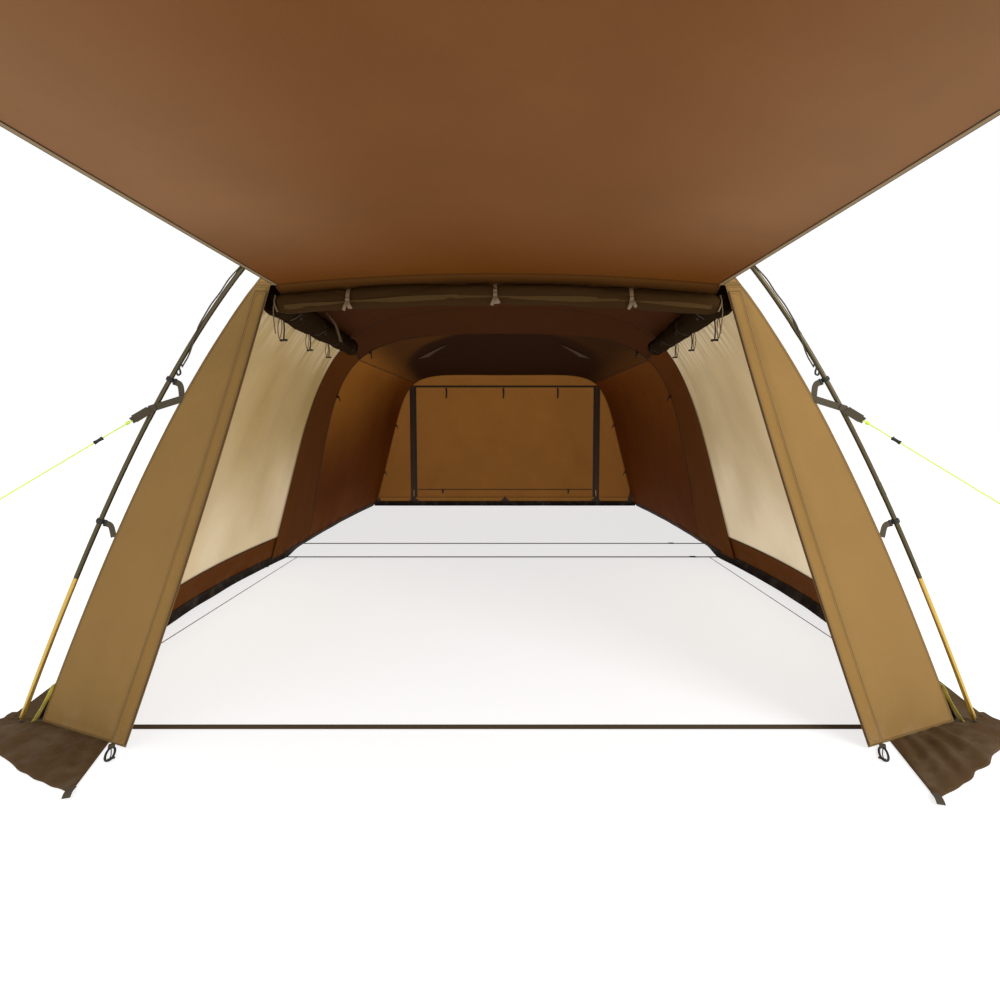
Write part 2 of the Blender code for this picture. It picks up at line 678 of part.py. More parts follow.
def build_side_skirt(label, side):
    """Ground skirt along one side, from the front pole's foot tab to the rear arch."""
    depths = [SKIRT_START]
    for bay, steps in ((LIVING, 16), (BRIDGE, 3), (BEDROOM, 14)):
        depths += spread(bay.front.depth, bay.back.depth, steps)[1:]
    depths.append(REAR.depth + SKIRT_END)

    def point(depth, v):
        bay = LIVING if depth < MIDDLE_FRONT.depth else BRIDGE if depth < MIDDLE_REAR.depth else BEDROOM
        share = share_at(bay, depth)
        spot = skin(bay, share, skin_at_height(bay, share, WALL_FOOT), side)
        calm = max(0.0, math.sin(math.pi * share)) if bay.flare else 0.0
        wave = math.sin(math.pi * depth / SKIRT_FOLD_PITCH) ** 2
        run, height = skirt_profile(v, SKIRT_FOLD * wave * calm)
        return Vector((spot.x + side * run, depth, height))

    cloth(f"side_skirt_{label}", point, depths, (0.0, 0.4, 0.6, 0.8, 1.0), BLACK)


def build_corner_skirt(label, side):
    """Folded cloth on the ground in front of a wing."""
    near, middle, far = (Vector((side * x, y, 0.0)) for x, y in CORNER_REACH)
    inner = [Vector((side * x, wing_line(x) + behind, 0.0)) for x, behind in CORNER_START]
    ground = CLOTH / 2.0

    def point(u, v):
        start = inner[0].lerp(inner[1], u)
        end = near.lerp(middle, u).lerp(middle.lerp(far, u), u)
        spot = start.lerp(end, v)
        wave = math.sin(math.pi * CORNER_FOLDS * u + 2.2 * v) ** 2 * math.sin(math.pi * v) ** 0.8
        edge = math.sin(math.pi * u) ** 0.5
        spot.z = ground + CORNER_FOLD * wave * edge
        return spot

    cloth(f"corner_skirt_{label}", point, spread(0.0, 1.0, 20), spread(0.0, 1.0, 7), BLACK)


def build_rear_wall():
    """Rear wall around its door, the door itself and the rear skirt."""

    def depth(height):
        return plane(REAR, height) + FACE

    for label, side in SIDES:

        def side_point(u, v):
            height = mix(WALL_FOOT + SEAM / 2.0, REAR_DOOR_TOP - SEAM / 2.0, v)
            outer = outline(REAR, at_height(REAR, height)).x
            across = mix(REAR_DOOR_HALF + SEAM / 2.0, outer, u)
            return Vector((side * across, depth(height), height))

        cloth(f"rear_side_{label}", side_point, spread(0.0, 1.0, 2), spread(0.0, 1.0, 12), BROWN)

    start = at_height(REAR, REAR_DOOR_TOP + REAR_GABLE_START)
    low = REAR_DOOR_TOP + HINGE_GAP / 2.0

    def gable_point(u, v):
        spot = outline(REAR, 1.0 - abs(u) * (1.0 - start))
        height = mix(low, spot.y, v)
        return Vector((math.copysign(spot.x, u), depth(height), height))

    cloth("rear_gable", gable_point, spread(-1.0, 1.0, 16), spread(0.0, 1.0, 2), BROWN)

    top = REAR_DOOR_TOP - HINGE_GAP / 2.0
    half = REAR_DOOR_HALF - SEAM / 2.0

    def door_point(u, v):
        height = mix(WALL_FOOT + SEAM / 2.0, top, v)
        billow = 0.012 * math.cos(math.pi * u / 2.0) * math.sin(math.pi * v)
        return Vector((half * u, depth(height) + billow, height))

    cloth("rear_door", door_point, spread(-1.0, 1.0, 12), spread(0.0, 1.0, 8), TAN, (0.0, depth(top), top))

    reach = REAR.foot - 0.045
    back = plane(REAR, WALL_FOOT) + FACE

    def skirt_point(u, v):
        waves = math.sin(math.pi * REAR_FOLDS * u / 2.0) ** 2 * math.cos(math.pi * u / 2.0)
        run, height = skirt_profile(v, SKIRT_FOLD * waves)
        reach_out = reach - 0.02 * (1.0 - v)
        return Vector((reach_out * u, back + run * (REAR_REACH - back) / (SKIRT_RUN + SKIRT_FLAT), height))

    cloth("rear_skirt", skirt_point, spread(-1.0, 1.0, 32), (0.0, 0.4, 0.6, 0.8, 1.0), BLACK)


def pin_tip(side):
    """Top of a canopy pole's pin, just under the canopy's eyelet."""
    up = Vector((0.0, math.sin(CANOPY_RISE), math.cos(CANOPY_RISE)))
    return eyelet_place(side) - up * (CLOTH / 2.0 + 2.0 * CLEAR)


def pole_pivot(side):
    """Point that a canopy pole folds about."""
    return pin_tip(side) - Vector((0.0, 0.0, POLE_PIVOT))


def build_canopy_pole(label, side):
    """Upright pole that holds up a front corner of the canopy by its pin."""
    across, depth, top = pin_tip(side)
    heights = (0.0, CAP_LENGTH, CAP_LENGTH + SHOULDER, top - PIN_LENGTH - SHOULDER, top - PIN_LENGTH, top)
    line = [(across, depth, height) for height in heights]
    widths = (CAP_SHARE, CAP_SHARE, 1.0, 1.0, PIN_SHARE, PIN_SHARE)
    tube(f"canopy_pole_{label}", line, POLE_RADIUS, GOLD, widths, 3, pole_pivot(side))


def squeezed(places, ties):
    """Radius factors of a roll: drawn in under each tie and at its ends."""
    widths = []
    for i, place_at in enumerate(places):
        near = min(abs(place_at - tie) for tie in ties)
        pinch = 1.0 if near > TIE_WIDTH * 0.8 else TIE_SQUEEZE
        end = min(i, len(places) - 1 - i)
        taper = (0.45, 0.82)[end] if end < 2 else 1.0
        widths.append(pinch * taper)
    return widths


def roll_stations(low, high, ties, step):
    """Places along a roll: a regular run, plus the two edges of the pinch under each tie."""
    count = round((high - low) / step)
    places = set(round(p, 5) for p in spread(low, high, count))
    places = [p for p in places if min(abs(p - tie) for tie in ties) > TIE_WIDTH]
    for tie in ties:
        places += [tie - TIE_WIDTH, tie - TIE_WIDTH * 0.6, tie + TIE_WIDTH * 0.6, tie + TIE_WIDTH]
    places += [low + 0.012, high - 0.012]
    return sorted(places)


def build_mesh_roll():
    """Mesh door rolled up under the front seam, and the header that it hangs from."""
    height = ROOT_HEIGHT - MESH_ROLL_DROP
    places = roll_stations(-MESH_ROLL_HALF, MESH_ROLL_HALF, MESH_TIES, 0.08)
    line = [(x, MESH_ROLL_DEPTH, height + root_line(x) - ROOT_HEIGHT) for x in places]
    tube("mesh_roll", line, MESH_ROLL_RADIUS, OLIVE, squeezed(places, MESH_TIES), 3)
    off = CLOTH / 2.0 + CLEAR

    def point(u, v):
        across = MESH_ROLL_HALF * u
        top = Vector((across, off, root_line(across) + HEADER_LAP))
        turn = Vector((across, off, root_line(across) - 0.004))
        roll = root_line(across) - MESH_ROLL_DROP + MESH_ROLL_CREST + off
        low = Vector((across, MESH_ROLL_DEPTH, roll))
        return top.lerp(turn, 2.0 * v) if v <= 0.5 else turn.lerp(low, 2.0 * v - 1.0)

    cloth("mesh_header", point, spread(-1.0, 1.0, 16), (0.0, 0.5, 0.75, 1.0), OLIVE)


def side_roll_point(depth, side):
    """Centre of a side roll, seated against the inside of the eave."""
    share = share_at(LIVING, depth)
    eave = skin(LIVING, share, EAVE, side)
    normal = outward(FRONT, EAVE).lerp(outward(MIDDLE_FRONT, EAVE), share).normalized()
    return eave - Vector((side * normal.x, 0.0, normal.y)) * SIDE_ROLL_SEAT


def build_side_roll(label, side):
    """Outer side door rolled up along the eave."""
    places = roll_stations(*SIDE_ROLL_ENDS, SIDE_TIES, 0.12)
    line = [side_roll_point(depth, side) for depth in places]
    tube(f"side_roll_{label}", line, SIDE_ROLL_RADIUS, OLIVE, squeezed(places, SIDE_TIES), 3)


def arch_at_height(section, height, side):
    """Point of an arch's centre line at a height."""
    low, high = 0.0, 1.0
    for _ in range(40):
        middle = (low + high) / 2.0
        if arch_point(section, middle, side).z < height:
            low = middle
        else:
            high = middle
    return arch_point(section, low, side)


def guy_points(side):
    """A front guy's seam end, its place over the pole, the strap's end and the ground end."""
    spot = outline(FRONT, at_height(FRONT, GUY_SEAM_HEIGHT))
    seam = Vector((side * (spot.x + GUY_SEAM_OUT), -FACE - FACE - GUY_STRAP_THICK, spot.y))
    pole = arch_at_height(FRONT, GUY_POLE_HEIGHT, side)
    over = pole - Vector((0.0, POLE_RADIUS + GUY_STRAP_THICK, 0.0))
    ground = Vector((side * GUY_GROUND[0], GUY_GROUND[1], GUY_RADIUS + CLEAR))
    return seam, over, over.lerp(ground, GUY_STRAP_SHARE), ground


def build_guy(label, side):
    """Guy strap over the front arch, the line to the ground and its runner."""
    seam, over, end, ground = guy_points(side)
    along = (ground - end).normalized()
    bm = bmesh.new()
    before = over - Vector((side * POLE_RADIUS, 0.0, 0.0))
    before.z = mix(over.z, seam.z, POLE_RADIUS / abs(over.x - seam.x))
    across = (over - seam).cross(Vector((0.0, 1.0, 0.0)))
    line = [seam, before, over, end - along * (3.0 * CLEAR)]
    ribbon(bm, line, GUY_STRAP_WIDTH, GUY_STRAP_THICK, across=across)
    solid_from(bm, f"guy_strap_{label}", OLIVE)
    tube(f"guy_line_{label}", [end, ground], GUY_RADIUS, LIME)
    bm = bmesh.new()
    centre = end + along * (RUNNER_START + RUNNER_LENGTH / 2.0)
    ring(bm, centre, along, RUNNER_BORE, RUNNER_RADIUS, RUNNER_LENGTH)
    solid_from(bm, f"guy_runner_{label}", BLACK, tuple(centre))


def add_slider(name, spot, along, out):
    """Zip slider with its pull, lying on a panel whose outward normal is out."""
    half, tip = SLIDER_LENGTH / 2.0, SLIDER_LENGTH / 2.0 + PULL_LENGTH
    under = SLIDER_THICK - PULL_THICK
    shape = [(-half, CLEAR), (half, CLEAR), (half, under), (tip, under)]
    shape += [(tip, SLIDER_THICK), (-half * 0.6, SLIDER_THICK), (-half, SLIDER_THICK * 0.6)]
    bm = bmesh.new()
    prism(bm, shape, spot, along, out, SLIDER_WIDTH)
    solid_from(bm, name, STEEL, tuple(spot))


def front_slider_line(side):
    """Top and foot of a front slider's run, just outside the wing's inner edge."""
    shift = Vector((side * SLIDER_OUT, 0.0, 0.0))
    top = wing_inner(1.0 - SLIDER_DROP / (ROOT_HEIGHT - WING_LIFT), side) + shift
    return top, wing_inner(0.03, side) + shift


def build_sliders():
    """Zip sliders of the front opening and of the rear door."""
    lean = REAR.lean / REAR.height
    for label, side in SIDES:
        top, low = front_slider_line(side)
        along = (low - top).normalized()
        out = Vector((side * WING_FORWARD, -(FRONT.foot - WING_FOOT_HALF), 0.0)).normalized()
        out = (out - along * out.dot(along)).normalized()
        add_slider(f"front_slider_{label}", top + out * (CLOTH / 2.0 + CLEAR), along, out)
        inner = plane(REAR, REAR_SLIDER_HEIGHT) + CLEAR
        spot = Vector((side * (REAR_DOOR_HALF + SLIDER_WIDTH), inner, REAR_SLIDER_HEIGHT))
        add_slider(f"rear_slider_{label}", spot, (0.0, lean, -1.0), (0.0, -1.0, -lean))


def peg_hook_eye(side):
    """Centre of a peg hook's eye."""
    across = WING_FOOT_HALF + PEG_HOOK_OUT
    back = wing_line(across) - CLOTH - CLEAR
    return Vector((side * across, back - PEG_HOOK_TAIL, PEG_HOOK_THICK / 2.0 + CLEAR))


def build_peg_hook(label, side):
    """Flat hook for a ground peg at the inner foot of a wing."""
    bm = bmesh.new()
    shape = hook_shape(PEG_HOOK_RADIUS, PEG_HOOK_WALL, PEG_HOOK_TAIL, 290.0)
    spot = peg_hook_eye(side)
    prism(bm, shape, spot, (0.0, 1.0, 0.0), (side, 0.0, 0.0), PEG_HOOK_THICK)
    solid_from(bm, f"peg_hook_{label}", BLACK)


def main():
    """Build the whole tent."""
    clear_scene()
    build_roof()
    build_front_gable()
    build_rear_wall()
    build_arches()
    build_straps()
    build_buckles()
    build_canopy()
    build_mesh_roll()
    build_sliders()
    for label, side in SIDES:
        build_wing(label, side)
        build_walls(label, side)
        build_pillar(label, side)
        build_side_door(label, side)
        build_side_roll(label, side)
        build_side_skirt(label, side)
        build_corner_skirt(label, side)
        build_foot_tab(label, side)
        build_side_cord(label, side)
        build_canopy_pole(label, side)
        build_guy(label, side)
        build_peg_hook(label, side)


main()
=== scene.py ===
"""Looks of a two-room tunnel tent with a raised front canopy.

The tent is laid out from the plane of its front arch, as in its source: +Y runs into the tent, +X to
the right as seen from the front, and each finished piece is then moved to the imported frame.
"""

import logging
import math
from collections.abc import Callable, Sequence
from dataclasses import dataclass, field
from enum import Enum

import bmesh
import bpy
from mathutils import Matrix, Vector, noise


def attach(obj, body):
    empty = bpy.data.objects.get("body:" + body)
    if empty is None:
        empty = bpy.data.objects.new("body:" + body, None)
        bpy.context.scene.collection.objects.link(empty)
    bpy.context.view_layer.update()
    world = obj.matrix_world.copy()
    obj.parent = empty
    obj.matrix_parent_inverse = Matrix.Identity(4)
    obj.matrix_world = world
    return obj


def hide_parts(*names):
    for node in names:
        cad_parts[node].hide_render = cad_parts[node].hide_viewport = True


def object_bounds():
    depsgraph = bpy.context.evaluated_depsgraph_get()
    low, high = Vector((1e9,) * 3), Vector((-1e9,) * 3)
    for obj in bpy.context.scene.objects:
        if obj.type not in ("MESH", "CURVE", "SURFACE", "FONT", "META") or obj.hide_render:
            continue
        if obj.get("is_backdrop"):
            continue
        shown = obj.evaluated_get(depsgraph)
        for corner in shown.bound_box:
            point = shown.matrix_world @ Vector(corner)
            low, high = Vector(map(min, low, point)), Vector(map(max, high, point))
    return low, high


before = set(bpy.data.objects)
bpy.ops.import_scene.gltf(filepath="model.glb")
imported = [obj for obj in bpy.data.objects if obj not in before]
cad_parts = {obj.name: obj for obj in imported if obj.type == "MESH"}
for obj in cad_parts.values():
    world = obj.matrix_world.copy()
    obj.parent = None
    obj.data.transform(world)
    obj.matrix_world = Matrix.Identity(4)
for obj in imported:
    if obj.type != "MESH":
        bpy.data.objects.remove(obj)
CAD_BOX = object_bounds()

log = logging.getLogger("tent")

Colour = tuple[float, float, float]
Grid = list[list[Vector]]


@dataclass(frozen=True)
class Section:
    """Cloth outline over one arch: a smooth half curve from the ground to the ridge.

    Attributes:
        depth: how far it stands behind the front arch.
        lean: how far its ridge leans forward.
        foot: half its width on the ground.
        leg: across and height of the curve's control point on the leg.
        shoulder: across of the control point at the shoulder.
        height: height of the ridge.
    """

    depth: float
    lean: float
    foot: float
    leg: tuple[float, float]
    shoulder: float
    height: float

    def outline(self, t: float) -> tuple[float, float]:
        """Across and height at t, from 0 at the ground to 1 at the ridge."""
        s = 1.0 - t
        a, b, c, d = s * s * s, 3.0 * t * s * s, 3.0 * t * t * s, t * t * t
        across = a * self.foot + b * self.leg[0] + c * self.shoulder
        return across, b * self.leg[1] + (c + d) * self.height

    def outward(self, t: float) -> tuple[float, float]:
        """Unit normal at t, pointing out of the tent."""
        (x0, z0), (x1, z1) = self.outline(t - 0.0005), self.outline(t + 0.0005)
        long = math.hypot(x1 - x0, z1 - z0)
        return (z1 - z0) / long, (x0 - x1) / long

    def step(self, t: float, distance: float) -> float:
        """Change of t that moves along the outline by a distance."""
        (x0, z0), (x1, z1) = self.outline(t - 0.0005), self.outline(t + 0.0005)
        return distance * 0.001 / math.hypot(x1 - x0, z1 - z0)

    def at_height(self, height: float) -> float:
        """Parameter t at which the outline reaches a height."""
        low, high = narrow(lambda t: self.outline(t)[1] < height, 0.0, 1.0, 30)
        return (low + high) / 2.0

    def plane(self, height: float) -> float:
        """Depth of the section's leaning plane at a height."""
        return self.depth - self.lean * height / self.height

    def pole(self, t: float, side: float) -> Vector:
        """Point of the arch's centre line, outside the cloth at t."""
        (x, z), (nx, nz) = self.outline(t), self.outward(t)
        height = z + nz * HANG
        return Vector((side * (x + nx * HANG), self.plane(height), height))

    def pole_at(self, height: float, side: float) -> Vector:
        """Point of the arch's centre line at a height."""
        low, _ = narrow(lambda t: self.pole(t, side).z < height, 0.0, 1.0, 30)
        return self.pole(low, side)


@dataclass(frozen=True)
class Bay:
    """Cloth between two sections.

    Attributes:
        front: its front section.
        back: its back section.
        flare: how far the walls are drawn out halfway along.
        sag: how far the roof hangs down halfway along.
    """

    front: Section
    back: Section
    flare: float
    sag: float

    def skin(self, share: float, t: float, side: float) -> Vector:
        """Point of the cloth; share runs from the front section to the back one."""
        (x0, z0), (x1, z1) = self.front.outline(t), self.back.outline(t)
        belly = math.sin(math.pi * share)
        wall = max(0.0, 1.0 - t / EAVE) ** 2
        roof = clamp((t - EAVE) / (1.0 - EAVE)) ** 0.7
        depth = mix(self.front.plane(z0), self.back.plane(z1), share)
        across = mix(x0, x1, share) + self.flare * belly * wall
        return Vector((side * across, depth, mix(z0, z1, share) - self.sag * belly * roof))

    def at_height(self, share: float, height: float) -> float:
        """Parameter t at which the wall reaches a height."""
        return mix(self.front.at_height(height), self.back.at_height(height), share)

    def share(self, depth: float) -> float:
        """Share of the bay that a depth lies at."""
        return (depth - self.front.depth) / (self.back.depth - self.front.depth)

    def inset(self, low: float, high: float) -> tuple[float, float]:
        """Shares of two depths, each drawn in by half a seam."""
        return self.share(low + SEAM / 2.0), self.share(high - SEAM / 2.0)


# The tent's driving sizes, in metres
FRONT = Section(0.0, 0.0, 1.63, (1.235, 1.075), 0.755, 2.09)
MIDDLE_FRONT = Section(2.535, 0.0, 1.715, (1.40, 1.65), 1.48, 1.97)
MIDDLE_REAR = Section(3.045, 0.0, 1.72, (1.43, 1.65), 1.55, 1.84)
REAR = Section(5.35, 0.12, 1.645, (1.13, 1.80), 1.46, 1.650)
LIVING = Bay(FRONT, MIDDLE_FRONT, 0.12, 0.035)
BRIDGE = Bay(MIDDLE_FRONT, MIDDLE_REAR, 0.0, 0.005)
BEDROOM = Bay(MIDDLE_REAR, REAR, 0.03, 0.03)

CLOTH = 0.0015
SEAM = 0.0005
CLEAR = 0.0003
HINGE_GAP = 0.0009
FACE = CLOTH / 2.0 + CLEAR
EAVE = 0.55
WALL_FOOT = 0.10
WALL_LOW = 0.045
BAND_TOP = 0.20
DOOR_FRONT = 0.20
DOOR_REAR = MIDDLE_FRONT.depth - 0.115
ROOT_HEIGHT = 1.560
ROOT_HALF = 0.800
ROOT_BOW = 0.040
WING_GAP = 0.012
WING_FORWARD = 0.166
WING_FOOT_HALF = 1.220
WING_LIFT = 0.0023
WING_BOW = 0.014
CANOPY_LENGTH = 1.5625
CANOPY_RISE = math.radians(8.8)
CANOPY_HALF = 1.205
CANOPY_SAG = 0.018
EYELET_SETBACK = (0.030, 0.055)
EYELET_INSET = 0.055
HANG = 0.070
POLE_RADIUS = 0.0085
LEG_HEIGHT = 0.489
STRAP_WIDTH = 0.030
STRAP_THICK = 0.0018
SKIRT_RUN = 0.060
SKIRT_FLAT = 0.110
SKIRT_START = 0.022
SKIRT_END = 0.020
REAR_DOOR_HALF = 1.150
REAR_DOOR_TOP = 1.500
MESH_ROLL_RADIUS = 0.038
MESH_ROLL_DEPTH = 0.045
MESH_ROLL_DROP = 0.055
MESH_ROLL_HALF = 0.775
MESH_TIES = (-0.540, -0.010, 0.480)
SIDE_ROLL_RADIUS = 0.040
SIDE_ROLL_SEAT = 0.0415
SIDE_ROLL_ENDS = (0.090, 2.400)
SIDE_TIES = (0.32, 0.93, 1.56, 2.18)
TOGGLES = (0.29, 0.84, 1.42)
GUY_GROUND = (2.400, -1.100)
GUY_RADIUS = 0.002
ROOT_DEPTH = -(CLEAR + CLOTH + HINGE_GAP)
FRONT_REACH = -ROOT_DEPTH + CANOPY_LENGTH * math.cos(CANOPY_RISE)
REAR_REACH = REAR.depth + SKIRT_RUN + SKIRT_FLAT
ORIGIN_DEPTH = (REAR_REACH - FRONT_REACH) / 2.0
ROOM = Vector((0.0, 2.6, 0.8))  # a place inside the tent that every wall faces
UP = Vector((0.0, 0.0, 1.0))
AHEAD = Vector((0.0, -1.0, 0.0))
BEHIND = Vector((0.0, 1.0, 0.0))
TURN = 2.0 * math.pi


class Side(Enum):
    """The two sides of the tent, seen from the front."""

    LEFT = -1.0
    RIGHT = 1.0

    @property
    def label(self) -> str:
        """Ending of this side's piece names."""
        return self.name.lower()


def mix(a: float, b: float, share: float) -> float:
    """The value that lies share of the way from a to b."""
    return a + (b - a) * share


def spread(low: float, high: float, count: int) -> list[float]:
    """Evenly spaced values, count steps from low to high."""
    return [low + (high - low) * i / count for i in range(count + 1)]


def clamp(value: float) -> float:
    """The value, held between 0 and 1."""
    return min(1.0, max(0.0, value))


def narrow(below: Callable[[float], bool], low: float, high: float, rounds: int) -> tuple[float, float]:
    """Halve a range; below tells whether a value still lies under the one that is looked for."""
    for _ in range(rounds):
        middle = (low + high) / 2.0
        low, high = (middle, high) if below(middle) else (low, middle)
    return low, high


def ease(value: float, low: float, high: float) -> float:
    """Smooth step from 0 at low to 1 at high."""
    share = clamp((value - low) / (high - low))
    return share * share * (3.0 - 2.0 * share)


def stops(length: float, step: float, hem: float) -> list[float]:
    """Shares along a length, about a step apart, with close ones at the edges of both hems."""
    near = [0.0, 0.12 * hem, hem * 0.94, hem * 1.06]
    count = max(2, round((length - 2.0 * near[-1]) / step))
    middle = spread(near[-1], length - near[-1], count)[1:-1]
    return [x / length for x in near + middle + [length - x for x in reversed(near)]]


def running(points: Sequence[Vector]) -> list[float]:
    """Length along a row of points, from its start to each."""
    lengths = [0.0]
    for before, after in zip(points, points[1:]):
        lengths.append(lengths[-1] + (after - before).length)
    return lengths


def paced(curve: Callable[[float], Vector], step: float, hem: float) -> list[float]:
    """Parameters of a curve at even steps of its length, with close ones at the edges of both hems."""
    count = 200
    lengths = running([curve(s / count) for s in range(count + 1)])
    found, at = [], 0
    for share in stops(lengths[-1], step, hem):
        goal = share * lengths[-1]
        while at < count - 1 and lengths[at + 1] < goal:
            at += 1
        found.append((at + (goal - lengths[at]) / (lengths[at + 1] - lengths[at])) / count)
    return found


def bay_at(depth: float) -> Bay:
    """The bay that a depth lies in."""
    return LIVING if depth < MIDDLE_FRONT.depth else BRIDGE if depth < MIDDLE_REAR.depth else BEDROOM


def root_line(across: float) -> float:
    """Height of the root seam at a distance across."""
    return ROOT_HEIGHT + ROOT_BOW * max(0.0, 1.0 - (across / ROOT_HALF) ** 2)


def wing_line(across: float) -> float:
    """Depth of a wing's lower edge at a distance across."""
    return -FACE - WING_FORWARD * (FRONT.foot - across) / (FRONT.foot - WING_FOOT_HALF)


def wing_inner(share: float, side: float) -> Vector:
    """Point of a wing's inner edge; share is 0 at the ground and 1 at the top."""
    across = mix(WING_FOOT_HALF, ROOT_HALF + WING_GAP, share) - WING_BOW * 4.0 * share * (1.0 - share)
    height = mix(WING_LIFT, ROOT_HEIGHT - SEAM, share)
    return Vector((side * across, -FACE - WING_FORWARD * (1.0 - share), height))


def wing_outward(side: float) -> Vector:
    """Unit normal of a wing, pointing out of the tent."""
    return Vector((side * WING_FORWARD, -(FRONT.foot - WING_FOOT_HALF), 0.0)).normalized()


def canopy_point(across_share: float, share: float) -> Vector:
    """Point of the canopy; share is 0 at the root and 1 at the hem."""
    half = mix(ROOT_HALF, CANOPY_HALF, share)
    along = CANOPY_LENGTH * share
    arch = 1.0 - across_share**2
    lift = ROOT_BOW * arch * (1.0 - share) - CANOPY_SAG * arch * math.sin(math.pi * share / 2.0)
    depth = ROOT_DEPTH - along * math.cos(CANOPY_RISE) - lift * math.sin(CANOPY_RISE) * share
    return Vector((half * across_share, depth, ROOT_HEIGHT + along * math.sin(CANOPY_RISE) + lift))


def eyelet_place(side: float) -> Vector:
    """Centre of a canopy eyelet on the canopy's mid surface."""
    share = 1.0 - EYELET_SETBACK[0 if side < 0.0 else 1] / CANOPY_LENGTH
    return canopy_point(side * (1.0 - EYELET_INSET / mix(ROOT_HALF, CANOPY_HALF, share)), share)


def new_object(name: str, bm: bmesh.types.BMesh, sharp: float = 50.0) -> bpy.types.Object:
    """Turn a bmesh into a smooth shaded object of the scene.

    Args:
        name: the piece's name.
        bm: its mesh, which is freed.
        sharp: angle in degrees above which an edge stays sharp.

    Returns:
        The new object.
    """
    mesh = bpy.data.meshes.new(name)
    bm.to_mesh(mesh)
    bm.free()
    mesh.shade_smooth()
    mesh.set_sharp_from_angle(angle=math.radians(sharp))
    piece = bpy.data.objects.new(name, mesh)
    bpy.context.scene.collection.objects.link(piece)
    return piece


def seat(
    piece: bpy.types.Object, slot: str, finish: str, nodes: Sequence[str] = (), body: str = "tent"
) -> bpy.types.Object:
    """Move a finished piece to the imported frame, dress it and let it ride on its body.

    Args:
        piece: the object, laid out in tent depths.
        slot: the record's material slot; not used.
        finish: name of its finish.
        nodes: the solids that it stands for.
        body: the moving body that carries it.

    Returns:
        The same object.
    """
    piece.data.transform(Matrix.Translation((0.0, -ORIGIN_DEPTH, 0.0)))
    piece.data.materials.append(look(finish))
    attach(piece, body)
    if nodes:
        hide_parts(*nodes)
    log.info("%s: %d faces on %s", piece.name, len(piece.data.polygons), body)
    return piece


